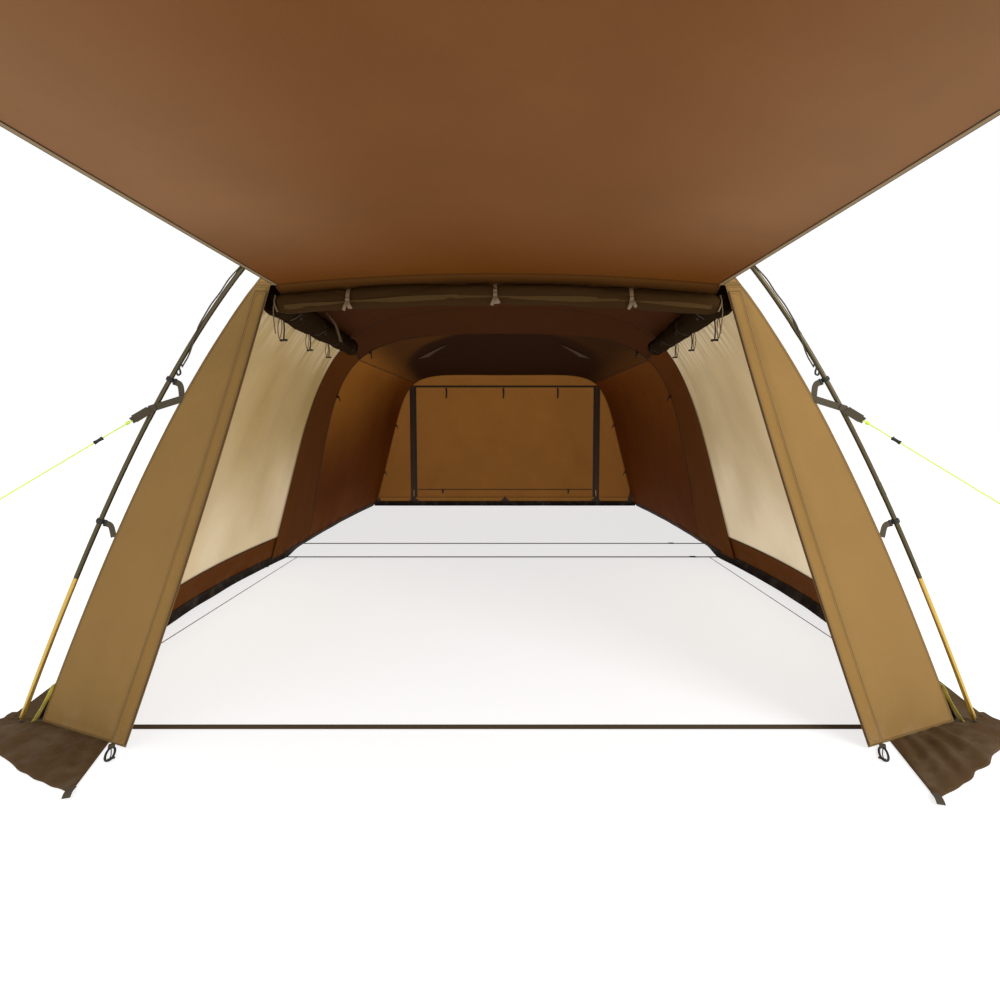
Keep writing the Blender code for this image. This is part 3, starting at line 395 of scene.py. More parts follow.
@dataclass
class Panel:
    """A sheet of cloth laid over a grid of stations, with its hems, folds and thickness.

    Attributes:
        name: the piece's name.
        point: place of the cloth's middle at two parameters, each 0 to 1.
        fold: how far the cloth stands proud at a place in metres across and up.
        step: distance between stations.
        hem: width of the doubled edge.
        proud: extra thickness of the doubled edge.
        calm: distance from an edge over which the folds die out.
        light: how much light comes through the cloth at a place of the grid, 0 to 1.
        inside: a place on the inner side of the cloth.
        thick: thickness of the cloth.
        flat: width and length along the cloth, known once it is built.
        area: area of the cloth, known once it is built.
    """

    name: str
    point: Callable[[float, float], Vector]
    fold: Callable[[float, float], float] | None = None
    step: float = 0.025
    hem: float = 0.012
    proud: float = 0.0006
    calm: float = 0.05
    light: Callable[[Vector], float] | None = None
    inside: Vector = field(default_factory=lambda: ROOM.copy())
    thick: float = CLOTH
    flat: tuple[float, float] = (0.0, 0.0)
    area: float = 0.0

    def lay(self) -> tuple[Grid, Grid, list[list[float]], list[list[float]]]:
        """Rows of places, unit normals out of the tent, and lengths across and up."""
        us = paced(lambda u: self.point(u, 0.5), self.step, self.hem)
        vs = paced(lambda v: self.point(0.5, v), self.step, self.hem)
        rows = [[self.point(u, v) for u in us] for v in vs]
        across = [running(row) for row in rows]
        ups = [list(row) for row in zip(*(running(column) for column in zip(*rows)))]
        last_r, last_c = len(rows) - 1, len(rows[0]) - 1
        normals = []
        for r, row in enumerate(rows):
            above, below = rows[min(r + 1, last_r)], rows[max(r - 1, 0)]
            pairs = [(min(c + 1, last_c), max(c - 1, 0), c) for c in range(last_c + 1)]
            normals.append([(row[b] - row[a]).cross(above[c] - below[c]) for b, a, c in pairs])
        middle = normals[last_r // 2][last_c // 2].dot(rows[last_r // 2][last_c // 2] - self.inside)
        sign = 1.0 if middle > 0.0 else -1.0
        normals = [[n.normalized() * sign for n in row] for row in normals]
        return rows, normals, across, ups

    def build(self) -> bpy.types.Object:
        """Make the closed cloth, with UV in metres and the hem, run, inner and light attributes."""
        rows, normals, across, ups = self.lay()
        self.flat = (max(row[-1] for row in across), max(ups[-1]))
        self.area = sum(
            (rows[r + 1][c + 1] - rows[r][c]).cross(rows[r + 1][c] - rows[r][c + 1]).length / 2.0
            for r in range(len(rows) - 1)
            for c in range(len(rows[0]) - 1)
        )
        columns, count = len(rows[0]) - 1, len(rows) - 1
        bm = bmesh.new()
        bmesh.ops.create_grid(bm, x_segments=columns, y_segments=count, size=0.5)
        layers = bm.verts.layers
        place = layers.int.new("place")
        hem, run, inner, light = (layers.float.new(n) for n in ("hem", "run", "inner", "light"))
        uv = bm.loops.layers.uv.new("UVMap")
        for vert in bm.verts:
            c = round((vert.co.x + 0.5) * columns)
            r = round((vert.co.y + 0.5) * count)
            x, y = across[r][c], ups[r][c]
            side, end = min(x, across[r][-1] - x), min(y, ups[-1][c] - y)
            vert[place] = r * (columns + 1) + c
            vert[hem] = min(side, end)
            vert[run] = y if side < end else x
            vert[light] = self.light(rows[r][c]) if self.light else 1.0
            for loop in vert.link_loops:
                loop[uv].uv = (x - across[r][-1] / 2.0, y)
        grown = bmesh.ops.solidify(bm, geom=bm.faces[:], thickness=self.thick)
        for vert in grown["geom"]:
            if isinstance(vert, bmesh.types.BMVert):
                vert[inner] = 1.0
        for vert in bm.verts:
            r, c = divmod(vert[place], columns + 1)
            half = self.thick / 2.0 + self.proud * (1.0 - ease(vert[hem], self.hem * 0.94, self.hem * 1.06))
            half *= 0.4 + 0.6 * ease(vert[hem], -0.0001, self.hem * 0.12)
            lift = 0.0
            if self.fold:
                proud = self.fold(across[r][c] - across[r][-1] / 2.0, ups[r][c])
                lift = proud * ease(vert[hem], 0.0, self.calm)
            vert.co = rows[r][c] + normals[r][c] * (lift + (half if vert[inner] < 0.5 else -half))
        layers.int.remove(layers.int["place"])
        bmesh.ops.recalc_face_normals(bm, faces=bm.faces)
        return new_object(self.name, bm, 70.0)

    def hang(
        self, slot: str, finish: str, node: str, rests_on: Sequence[str], body: str = "tent"
    ) -> None:
        """Args:
            slot: the record's material slot.
            finish: name of its finish.
            node: the solid that it stands for, empty where it has none.
            rests_on: what holds it; not used.
            body: the moving body that carries it.
        """
        piece = seat(self.build(), slot, finish, (node,) if node else (), body)
        width, length = self.flat
        area = min(self.area, width * length)


def lay_grid(bm: bmesh.types.BMesh, rows: Grid, closed: bool = True, capped: bool = True) -> None:
    """Add a skin through rows of points, with UV in metres.

    Args:
        bm: the mesh that takes it.
        rows: rows of places; a closed row ends where it starts.
        closed: whether the rows are closed rings, so that the skin is a tube.
        capped: whether its two ends are filled.
    """
    columns, count = len(rows[0]) - 1, len(rows) - 1
    uv = bm.loops.layers.uv.verify()
    made = bmesh.ops.create_grid(bm, x_segments=columns, y_segments=count, size=0.5)["verts"]
    across, along = running(rows[count // 2]), running([row[0] for row in rows])
    for vert in made:
        c = round((vert.co.x + 0.5) * columns)
        r = round((vert.co.y + 0.5) * count)
        for loop in vert.link_loops:
            loop[uv].uv = (across[c], along[r])
        vert.co = rows[r][c]
    if closed:
        bmesh.ops.remove_doubles(bm, verts=made, dist=2e-6)
    if closed and capped:
        edges = [edge for edge in bm.edges if edge.is_boundary]
        bmesh.ops.holes_fill(bm, edges=edges, sides=0)


def heading(path: Sequence[Vector], i: int) -> Vector:
    """Unit direction of a path at one of its points."""
    return (path[min(i + 1, len(path) - 1)] - path[max(i - 1, 0)]).normalized()


def frames(path: Sequence[Vector], up: Vector) -> list[tuple[Vector, Vector]]:
    """Unit side and up vectors at each point of a path; up is kept as near as it can be."""
    made = []
    for i in range(len(path)):
        along = heading(path, i)
        side = along.cross(up).normalized()
        made.append((side, side.cross(along).normalized()))
    return made


def circle(radius: float, sides: int) -> list[tuple[float, float]]:
    """Closed ring of offsets round a path."""
    turn = TURN / sides
    ring = [(radius * math.cos(turn * k), radius * math.sin(turn * k)) for k in range(sides)]
    return ring + ring[:1]


def band(width: float, thick: float) -> list[tuple[float, float]]:
    """Closed ring of offsets of flat webbing with rounded edges."""
    w, t, lip = width / 2.0, thick / 2.0, min(thick, width / 4.0) * 0.5
    ring = [(w, 0.0), (w - lip, t), (w - 3.0 * lip, t), (-w + 3.0 * lip, t), (-w + lip, t)]
    ring += [(-x, -z) for x, z in ring]
    return ring + ring[:1]


def sweep(
    bm: bmesh.types.BMesh,
    path: Sequence[Vector],
    ring: Sequence[tuple[float, float]],
    up: Vector = UP,
    sizes: Sequence[float] | None = None,
) -> None:
    """Draw a closed ring of offsets along a path as a capped tube.

    Args:
        bm: the mesh that takes it.
        path: the points that it follows.
        ring: offsets sideways and upward.
        up: the direction that the ring's upward offsets keep to.
        sizes: a factor on the ring at each point.
    """
    rows = []
    for i, (spot, (side, rise)) in enumerate(zip(path, frames(path, up))):
        size = sizes[i] if sizes else 1.0
        rows.append([spot + side * (a * size) + rise * (b * size) for a, b in ring])
    lay_grid(bm, rows)


def strand(
    name: str,
    path: Sequence[Vector],
    ring: Sequence[tuple[float, float]],
    slot: str,
    finish: str,
    nodes: Sequence[str] = (),
    body: str = "tent",
    up: Vector = UP,
) -> bpy.types.Object:
    """A piece of its own: one ring of offsets drawn along a path, dressed and seated.

    Args:
        name: the piece's name.
        path: the points that it follows.
        ring: offsets sideways and upward.
        slot: the record's material slot.
        finish: name of its finish.
        nodes: the solids that it stands for.
        body: the moving body that carries it.
        up: the direction that the ring's upward offsets keep to.

    Returns:
        The piece.
    """
    bm = bmesh.new()
    sweep(bm, path, ring, up)
    return seat(new_object(name, bm), slot, finish, nodes, body)


def smooth_path(points: Sequence[Sequence[float]], steps: int = 6) -> list[Vector]:
    """Points of a smooth curve through the given ones."""
    knots = [Vector(p) for p in points]
    knots = [knots[0] * 2.0 - knots[1], *knots, knots[-1] * 2.0 - knots[-2]]
    path = []
    for a, b, c, d in zip(knots, knots[1:], knots[2:], knots[3:]):
        for k in range(steps):
            s = k / steps
            square, cube = a * 2.0 - b * 5.0 + c * 4.0 - d, b * 3.0 - a - c * 3.0 + d
            path.append((b * 2.0 + (c - a) * s + square * s**2 + cube * s**3) / 2.0)
    return path + [knots[-2]]


def block(bm: bmesh.types.BMesh, size: Sequence[float], place: Matrix, bevel: float = 0.0) -> None:
    """Add a box of a size at a place, its edges rounded by a bevel."""
    made = bmesh.ops.create_cube(bm, size=1.0, matrix=place @ Matrix.Diagonal((*size, 1.0)))["verts"]
    if bevel:
        edges = list({edge for vert in made for edge in vert.link_edges})
        bmesh.ops.bevel(
            bm,
            geom=edges,
            offset=bevel,
            offset_type="OFFSET",
            segments=2,
            profile=0.5,
            affect="EDGES",
            material=-1,
            clamp_overlap=True,
        )


def turned(
    bm: bmesh.types.BMesh, profile: Sequence[tuple[float, float]], centre: Vector, axis: Vector, sides: int
) -> None:
    """Spin a closed profile of (radius, along) round an axis.

    Args:
        bm: the mesh that takes it.
        profile: corners of the closed profile.
        centre: where along is 0.
        axis: the spin's axis.
        sides: number of steps of the full turn.
    """
    axis = axis.normalized()
    across = axis.orthogonal().normalized()
    verts = [bm.verts.new(centre + across * r + axis * h) for r, h in profile]
    edges = [bm.edges.new(pair) for pair in zip(verts, verts[1:] + verts[:1])]
    bmesh.ops.spin(bm, geom=verts + edges, cent=centre, axis=axis, angle=TURN, steps=sides, use_merge=True)


def facing(along: Vector, up: Vector, spot: Vector) -> Matrix:
    """Matrix that puts X along a direction and Z near up, at a spot."""
    x = along.normalized()
    y = up.cross(x).normalized()
    return Matrix.Translation(spot) @ Matrix((x, y, x.cross(y))).transposed().to_4x4()


def rumple(x: float, y: float, size: float, seed: float = 0.0, stretch: float = 1.0) -> float:
    """Smooth uneven cloth surface, about -1 to 1; stretch draws its folds out upward."""
    return noise.fractal(Vector((x / size, y / (size * stretch), seed)), 1.0, 2.0, 3)


def tension(x: float, y: float, size: float, seed: float, lean: float) -> float:
    """Narrow pulled folds that run at a lean, about 0 to 1."""
    a, b = x * math.cos(lean) + y * math.sin(lean), y * math.cos(lean) - x * math.sin(lean)
    value = noise.fractal(Vector((a / size, b / (size * 5.0), seed)), 1.0, 2.0, 2)
    return max(0.0, 1.0 - abs(value) * 3.0) ** 2


class Wiring:
    """Adds nodes to a shader tree and links them."""

    def __init__(self, tree: bpy.types.NodeTree) -> None:
        """Keep the tree that the nodes go to."""
        self.tree = tree

    def feed(self, socket: bpy.types.NodeSocket, value: object) -> None:
        """Link a socket to another, or set its value."""
        if isinstance(value, bpy.types.NodeSocket):
            self.tree.links.new(value, socket)
        else:
            socket.default_value = value

    def add(
        self, kind: str, feeds: dict[str | int, object] | None = None, **settings: object
    ) -> bpy.types.Node:
        """Add a node with its settings and feed its inputs by name or number."""
        node = self.tree.nodes.new(kind)
        for key, value in settings.items():
            setattr(node, key, value)
        for key, value in (feeds or {}).items():
            self.feed(node.inputs[key], value)
        return node

    def sum(self, operation: str, *values: object) -> bpy.types.NodeSocket:
        """Work out a Math node of the values."""
        return self.add("ShaderNodeMath", dict(enumerate(values)), operation=operation).outputs[0]

    def times(self, one: object, other: object) -> bpy.types.NodeSocket:
        """Multiply two values."""
        return self.sum("MULTIPLY", one, other)

    def plus(self, one: object, other: object) -> bpy.types.NodeSocket:
        """Add two values."""
        return self.sum("ADD", one, other)

    def minus(self, one: object, other: object) -> bpy.types.NodeSocket:
        """Take the second value from the first."""
        return self.sum("SUBTRACT", one, other)

    def ramp(self, value: object, low: float, high: float) -> bpy.types.NodeSocket:
        """Smooth 0 to 1 as a value runs from low to high."""
        feeds = {"Value": value, "From Min": low, "From Max": high}
        return self.add("ShaderNodeMapRange", feeds, interpolation_type="SMOOTHSTEP").outputs[0]

    def blend(self, share: object, low: object, high: object, way: str = "MIX") -> bpy.types.NodeSocket:
        """Mix two colours."""
        node = self.add("ShaderNodeMix", data_type="RGBA", blend_type=way, clamp_result=True)
        for key, value in (("Factor", share), ("A", low), ("B", high)):
            fitting = [s for s in node.inputs if s.name == key and s.enabled]
            self.feed(fitting[0], value)
        return [s for s in node.outputs if s.enabled][0]

    def attribute(self, name: str) -> bpy.types.NodeSocket:
        """Read a float attribute of the mesh."""
        return self.add("ShaderNodeAttribute", attribute_name=name).outputs["Fac"]

    def uv(self) -> bpy.types.NodeSocket:
        """Read the UV map, which is in metres."""
        return self.add("ShaderNodeUVMap", uv_map="UVMap").outputs[0]

    def place(self) -> bpy.types.NodeSocket:
        """Read object coordinates."""
        return self.add("ShaderNodeTexCoord").outputs["Object"]

    def noise(
        self, vector: object, scale: float, detail: float = 2.0, rough: float = 0.5
    ) -> bpy.types.NodeSocket:
        """Noise value of a vector."""
        feeds = {"Vector": vector, "Scale": scale, "Detail": detail, "Roughness": rough}
        return self.add("ShaderNodeTexNoise", feeds).outputs[0]

    def bump(self, height: object, distance: float, strength: float = 1.0) -> bpy.types.NodeSocket:
        """Turn a height into a normal."""
        return self.add(
            "ShaderNodeBump", {"Height": height, "Distance": distance, "Strength": strength}
        ).outputs[0]

    def group(self, effect: "Effect", **feeds: object) -> bpy.types.Node:
        """Place a shared effect with its own values."""
        node = self.add("ShaderNodeGroup", node_tree=effect.tree())
        for key, value in feeds.items():
            self.feed(node.inputs[key], value)
        return node


class Effect(Enum):
    """Effects that several materials share, each a node group built once."""

    WEAVE = "cloth_weave"
    MOTTLE = "uneven_dye"
    CREASES = "pack_creases"
    STITCHES = "sewn_stitches"
    DUST = "ground_dust"
    RIBS = "webbing_ribs"

    def tree(self) -> bpy.types.NodeTree:
        """The effect's node group, built at its first use."""
        found = bpy.data.node_groups.get(self.value)
        return found or getattr(self, f"_{self.name.lower()}")()

    def _start(
        self, inputs: dict[str, float | None], outputs: Sequence[str]
    ) -> tuple[Wiring, dict, bpy.types.Node]:
        """New group with named sockets; an input without a value is a vector."""
        tree = bpy.data.node_groups.new(self.value, "ShaderNodeTree")
        for name, value in inputs.items():
            kind = "NodeSocketVector" if value is None else "NodeSocketFloat"
            socket = tree.interface.new_socket(name, in_out="INPUT", socket_type=kind)
            if value is not None:
                socket.default_value = value
        for name in outputs:
            tree.interface.new_socket(name, in_out="OUTPUT", socket_type="NodeSocketFloat")
        wires = Wiring(tree)
        given = wires.add("NodeGroupInput").outputs
        return wires, given, wires.add("NodeGroupOutput")

    def _weave(self) -> bpy.types.NodeTree:
        """Over and under threads of a plain weave."""
        wires, given, out = self._start({"Place": None, "Pitch": 0.0006}, ["Height"])
        scaled = wires.add("ShaderNodeVectorMath", {0: given["Place"]}, operation="SCALE")
        wires.feed(scaled.inputs["Scale"], wires.sum("DIVIDE", 1.0, given["Pitch"]))
        split = wires.add("ShaderNodeSeparateXYZ", {0: scaled.outputs[0]}).outputs
        warp = wires.sum("ABSOLUTE", wires.sum("SINE", wires.times(split[0], math.pi)))
        weft = wires.sum("ABSOLUTE", wires.sum("SINE", wires.times(split[1], math.pi)))
        over = wires.add("ShaderNodeTexChecker", {"Vector": scaled.outputs[0], "Scale": 1.0}).outputs["Fac"]
        top = wires.times(over, warp)
        low = wires.times(wires.minus(1.0, over), weft)
        wires.feed(out.inputs["Height"], wires.plus(top, low))
        return wires.tree

    def _mottle(self) -> bpy.types.NodeTree:
        """Uneven dye: broad clouds and fine grain, round 0.5."""
        wires, given, out = self._start({"Place": None, "Broad": 3.0, "Fine": 160.0}, ["Tone"])
        clouds = wires.noise(given["Place"], 1.0, 3.0)
        wires.feed(clouds.node.inputs["Scale"], given["Broad"])
        grain = wires.noise(given["Place"], 1.0, 2.0, 0.7)
        wires.feed(grain.node.inputs["Scale"], given["Fine"])
        wires.feed(out.inputs["Tone"], wires.plus(wires.times(clouds, 0.7), wires.times(grain, 0.3)))
        return wires.tree

    def _creases(self) -> bpy.types.NodeTree:
        """Soft ridges where the cloth lay folded."""
        wires, given, out = self._start({"Place": None, "Scale": 5.0}, ["Height"])
        bent = wires.noise(given["Place"], 1.0, 4.0, 0.55)
        wires.feed(bent.node.inputs["Scale"], given["Scale"])
        ridge = wires.sum("ABSOLUTE", wires.minus(bent, 0.5))
        fine = wires.noise(given["Place"], 22.0, 3.0, 0.6)
        wires.feed(out.inputs["Height"], wires.plus(wires.times(ridge, -2.0), wires.times(fine, 0.25)))
        return wires.tree

    def _stitches(self) -> bpy.types.NodeTree:
        """Two rows of stitches along a hem, from its hem and run attributes."""
        wires, given, out = self._start(
            {"Hem": 0.0, "Run": 0.0, "Row": 0.003, "Gap": 0.006, "Length": 0.006}, ["Mask"]
        )
        phase = wires.sum("FRACT", wires.sum("DIVIDE", given["Run"], given["Length"]))
        dash = wires.sum("LESS_THAN", phase, 0.68)
        first = wires.sum(
            "LESS_THAN", wires.sum("ABSOLUTE", wires.minus(given["Hem"], given["Row"])), 0.0007
        )
        far = wires.plus(given["Row"], given["Gap"])
        second = wires.sum("LESS_THAN", wires.sum("ABSOLUTE", wires.minus(given["Hem"], far)), 0.0007)
        wires.feed(out.inputs["Mask"], wires.times(dash, wires.sum("MAXIMUM", first, second)))
        return wires.tree

    def _dust(self) -> bpy.types.NodeTree:
        """Dust that gathers near the ground."""
        wires, given, out = self._start({"Place": None, "Height": 0.16}, ["Mask"])
        height = wires.add("ShaderNodeSeparateXYZ", {0: given["Place"]}).outputs[2]
        near = wires.minus(1.0, wires.ramp(wires.sum("DIVIDE", height, given["Height"]), 0.0, 1.0))
        patch = wires.ramp(wires.noise(given["Place"], 9.0, 4.0, 0.6), 0.42, 0.7)
        wires.feed(out.inputs["Mask"], wires.times(near, patch))
        return wires.tree

    def _ribs(self) -> bpy.types.NodeTree:
        """Diagonal ribs of webbing or a braid."""
        wires, given, out = self._start({"Place": None, "Pitch": 0.0016}, ["Height"])
        split = wires.add("ShaderNodeSeparateXYZ", {0: given["Place"]}).outputs
        turn = wires.sum("DIVIDE", math.pi, given["Pitch"])
        one = wires.sum("SINE", wires.times(wires.plus(split[0], split[1]), turn))
        two = wires.sum("SINE", wires.times(wires.minus(split[0], split[1]), turn))
        wires.feed(out.inputs["Height"], wires.sum("ABSOLUTE", wires.times(one, two)))
        return wires.tree


def new_material(
    name: str, roughness: float, metallic: float = 0.0
) -> tuple[bpy.types.Material, Wiring, bpy.types.Node]:
    """Material with its Principled shader, and the wiring of its tree."""
    made = bpy.data.materials.new(name)
    made.use_nodes = True
    shader = made.node_tree.nodes["Principled BSDF"]
    shader.inputs["Roughness"].default_value = roughness
    shader.inputs["Metallic"].default_value = metallic
    return made, Wiring(made.node_tree), shader


@dataclass(frozen=True)
class ClothFinish:
    """Woven tent cloth: its outer and inner colour, weave, creases, hems and the light through it.

    Attributes:
        outer: colour of the weather side.
        inner: colour of the room side.
        roughness: how matt it is.
        crease: height of its creases.
        hem: how much darker the doubled hem is.
        thread: colour of its stitches.
        lit: colour of the room side where the light attribute is 1.
        glow: strength of the light that comes through to the room side.
        shine: colour of that light.
        pitch: distance between threads.
        width: width of the doubled hem.
        dust: how much dust shows near the ground.
        specular: strength of its surface reflection.
    """

    name: str
    outer: Colour
    inner: Colour
    roughness: float = 0.85
    crease: float = 0.004
    hem: float = 0.14
    thread: Colour = (0.05, 0.03, 0.012)
    lit: Colour | None = None
    glow: float = 0.0
    shine: Colour = (1.0, 1.0, 1.0)
    pitch: float = 0.0006
    width: float = 0.012
    dust: float = 0.10
    specular: float = 0.05

    def material(self) -> bpy.types.Material:
        """Build the cloth's material."""
        made, wires, shader = new_material(self.name, self.roughness)
        shader.inputs["Specular IOR Level"].default_value = self.specular
        uv, hem, run = wires.uv(), wires.attribute("hem"), wires.attribute("run")
        inner, light = wires.attribute("inner"), wires.attribute("light")
        room = wires.blend(light, (*self.inner, 1.0), (*(self.lit or self.inner), 1.0))
        base = wires.blend(inner, (*self.outer, 1.0), room)
        tone = wires.group(Effect.MOTTLE, Place=uv).outputs["Tone"]
        shade = wires.plus(wires.times(tone, 0.36), 0.82)
        within = wires.minus(1.0, wires.ramp(hem, self.width * 0.9, self.width * 1.1))
        edge = wires.times(within, self.hem)
        shade = wires.times(shade, wires.minus(1.0, edge))
        grey = wires.add("ShaderNodeCombineColor", {0: shade, 1: shade, 2: shade}).outputs[0]
        base = wires.blend(1.0, base, grey, "MULTIPLY")
        dust = wires.group(Effect.DUST, Place=wires.place()).outputs["Mask"]
        base = wires.blend(wires.times(dust, self.dust), base, (0.36, 0.30, 0.22, 1.0))
        sewn = wires.group(Effect.STITCHES, Hem=hem, Run=run).outputs["Mask"]
        base = wires.blend(wires.times(sewn, 0.8), base, (*self.thread, 1.0))
        wires.feed(shader.inputs["Base Color"], base)
        weave = wires.group(Effect.WEAVE, Place=uv, Pitch=self.pitch).outputs["Height"]
        folds = wires.group(Effect.CREASES, Place=uv).outputs["Height"]
        height = wires.plus(wires.times(weave, 0.00005), wires.times(folds, self.crease))
        height = wires.plus(height, wires.times(sewn, 0.0004))
        wires.feed(shader.inputs["Normal"], wires.bump(height, 1.0))
        if self.glow:
            through = wires.times(inner, light)
            lit = wires.blend(through, (0.0, 0.0, 0.0, 1.0), (*self.shine, 1.0))
            wires.feed(shader.inputs["Emission Color"], wires.blend(1.0, lit, base, "MULTIPLY"))
            shader.inputs["Emission Strength"].default_value = self.glow
        return made


@dataclass(frozen=True)
class WebbingFinish:
    """Woven tape, cord or braid with a ribbed surface.

    Attributes:
        colour: colour on its ribs.
        pitch: distance between ribs.
        roughness: how matt it is.
        depth: height of the ribs.
        worn: colour where it is worn.
        glow: strength of a painted glow that makes the tape look better lit than its place is.
    """

    name: str
    colour: Colour
    pitch: float = 0.0016
    roughness: float = 0.75
    depth: float = 0.0003
    worn: Colour = (0.16, 0.13, 0.09)
    glow: float = 0.0

    def material(self) -> bpy.types.Material:
        """Build the tape's material; its glow, where it has one, is painted light."""
        made, wires, shader = new_material(self.name, self.roughness)
        uv = wires.uv()
        ribs = wires.group(Effect.RIBS, Place=uv, Pitch=self.pitch).outputs["Height"]
        tone = wires.group(Effect.MOTTLE, Place=uv, Broad=12.0).outputs["Tone"]
        # The grooves between the ribs are painted 30% darker, as shade in them
        dark = tuple(c * 0.7 for c in self.colour)
        base = wires.blend(wires.ramp(ribs, 0.05, 0.7), (*dark, 1.0), (*self.colour, 1.0))
        share = wires.times(wires.ramp(tone, 0.5, 0.75), 0.3)
        base = wires.blend(share, base, (*self.worn, 1.0))
        wires.feed(shader.inputs["Base Color"], base)
        wires.feed(shader.inputs["Normal"], wires.bump(wires.times(ribs, self.depth), 1.0))
        if self.glow:
            wires.feed(shader.inputs["Emission Color"], base)
            shader.inputs["Emission Strength"].default_value = self.glow
        return made


@dataclass(frozen=True)
class TubeFinish:
    """Anodised tube or cast metal, brushed along its length.

    Attributes:
        colour: colour of the metal.
        roughness: how matt it is.
        metallic: how metallic it is.
        scratch: colour of the drawn lines.
    """

    name: str
    colour: Colour
    roughness: float = 0.32
    metallic: float = 0.85
    scratch: Colour = (0.5, 0.48, 0.42)

    def material(self) -> bpy.types.Material:
        """Build the metal's material."""
        made, wires, shader = new_material(self.name, self.roughness, self.metallic)
        uv = wires.uv()
        drawn = wires.add("ShaderNodeMapping", {"Vector": uv, "Scale": (900.0, 6.0, 1.0)}).outputs[0]
        lines = wires.noise(drawn, 1.0, 3.0, 0.6)
        tone = wires.group(Effect.MOTTLE, Place=uv, Broad=9.0).outputs["Tone"]
        base = wires.blend(
            wires.times(wires.ramp(lines, 0.62, 0.8), 0.45), (*self.colour, 1.0), (*self.scratch, 1.0)
        )
        wires.feed(shader.inputs["Base Color"], base)
        rough = wires.plus(wires.times(tone, 0.22), self.roughness - 0.1)
        wires.feed(shader.inputs["Roughness"], rough)
        wires.feed(shader.inputs["Normal"], wires.bump(wires.times(lines, 0.00004), 1.0))
        return made


@dataclass(frozen=True)
class PlasticFinish:
    """Moulded plastic with a fine grain."""

    name: str
    colour: Colour
    roughness: float = 0.42

    def material(self) -> bpy.types.Material:
        """Build the plastic's material."""
        made, wires, shader = new_material(self.name, self.roughness)
        place = wires.place()
        grain = wires.noise(place, 1400.0, 2.0)
        tone = wires.noise(place, 45.0, 3.0)
        light = tuple(min(1.0, c * 1.9 + 0.01) for c in self.colour)
        wires.feed(
            shader.inputs["Base Color"],
            wires.blend(wires.ramp(tone, 0.5, 0.8), (*self.colour, 1.0), (*light, 1.0)),
        )
        rough = wires.plus(wires.times(tone, 0.3), self.roughness - 0.12)
        wires.feed(shader.inputs["Roughness"], rough)
        wires.feed(shader.inputs["Normal"], wires.bump(wires.times(grain, 0.00006), 1.0))
        return made


BROWN_INNER = (0.100, 0.029, 0.003)
BROWN_OUTER = (0.200, 0.100, 0.036)
TAN_OUTER = (0.228, 0.131, 0.040)
CREAM = (0.74, 0.64, 0.475)
LIT_CANOPY = (0.212, 0.105, 0.047)
LIT_ROOM = (0.185, 0.070, 0.010)
WARM = (1.0, 0.90, 0.70)

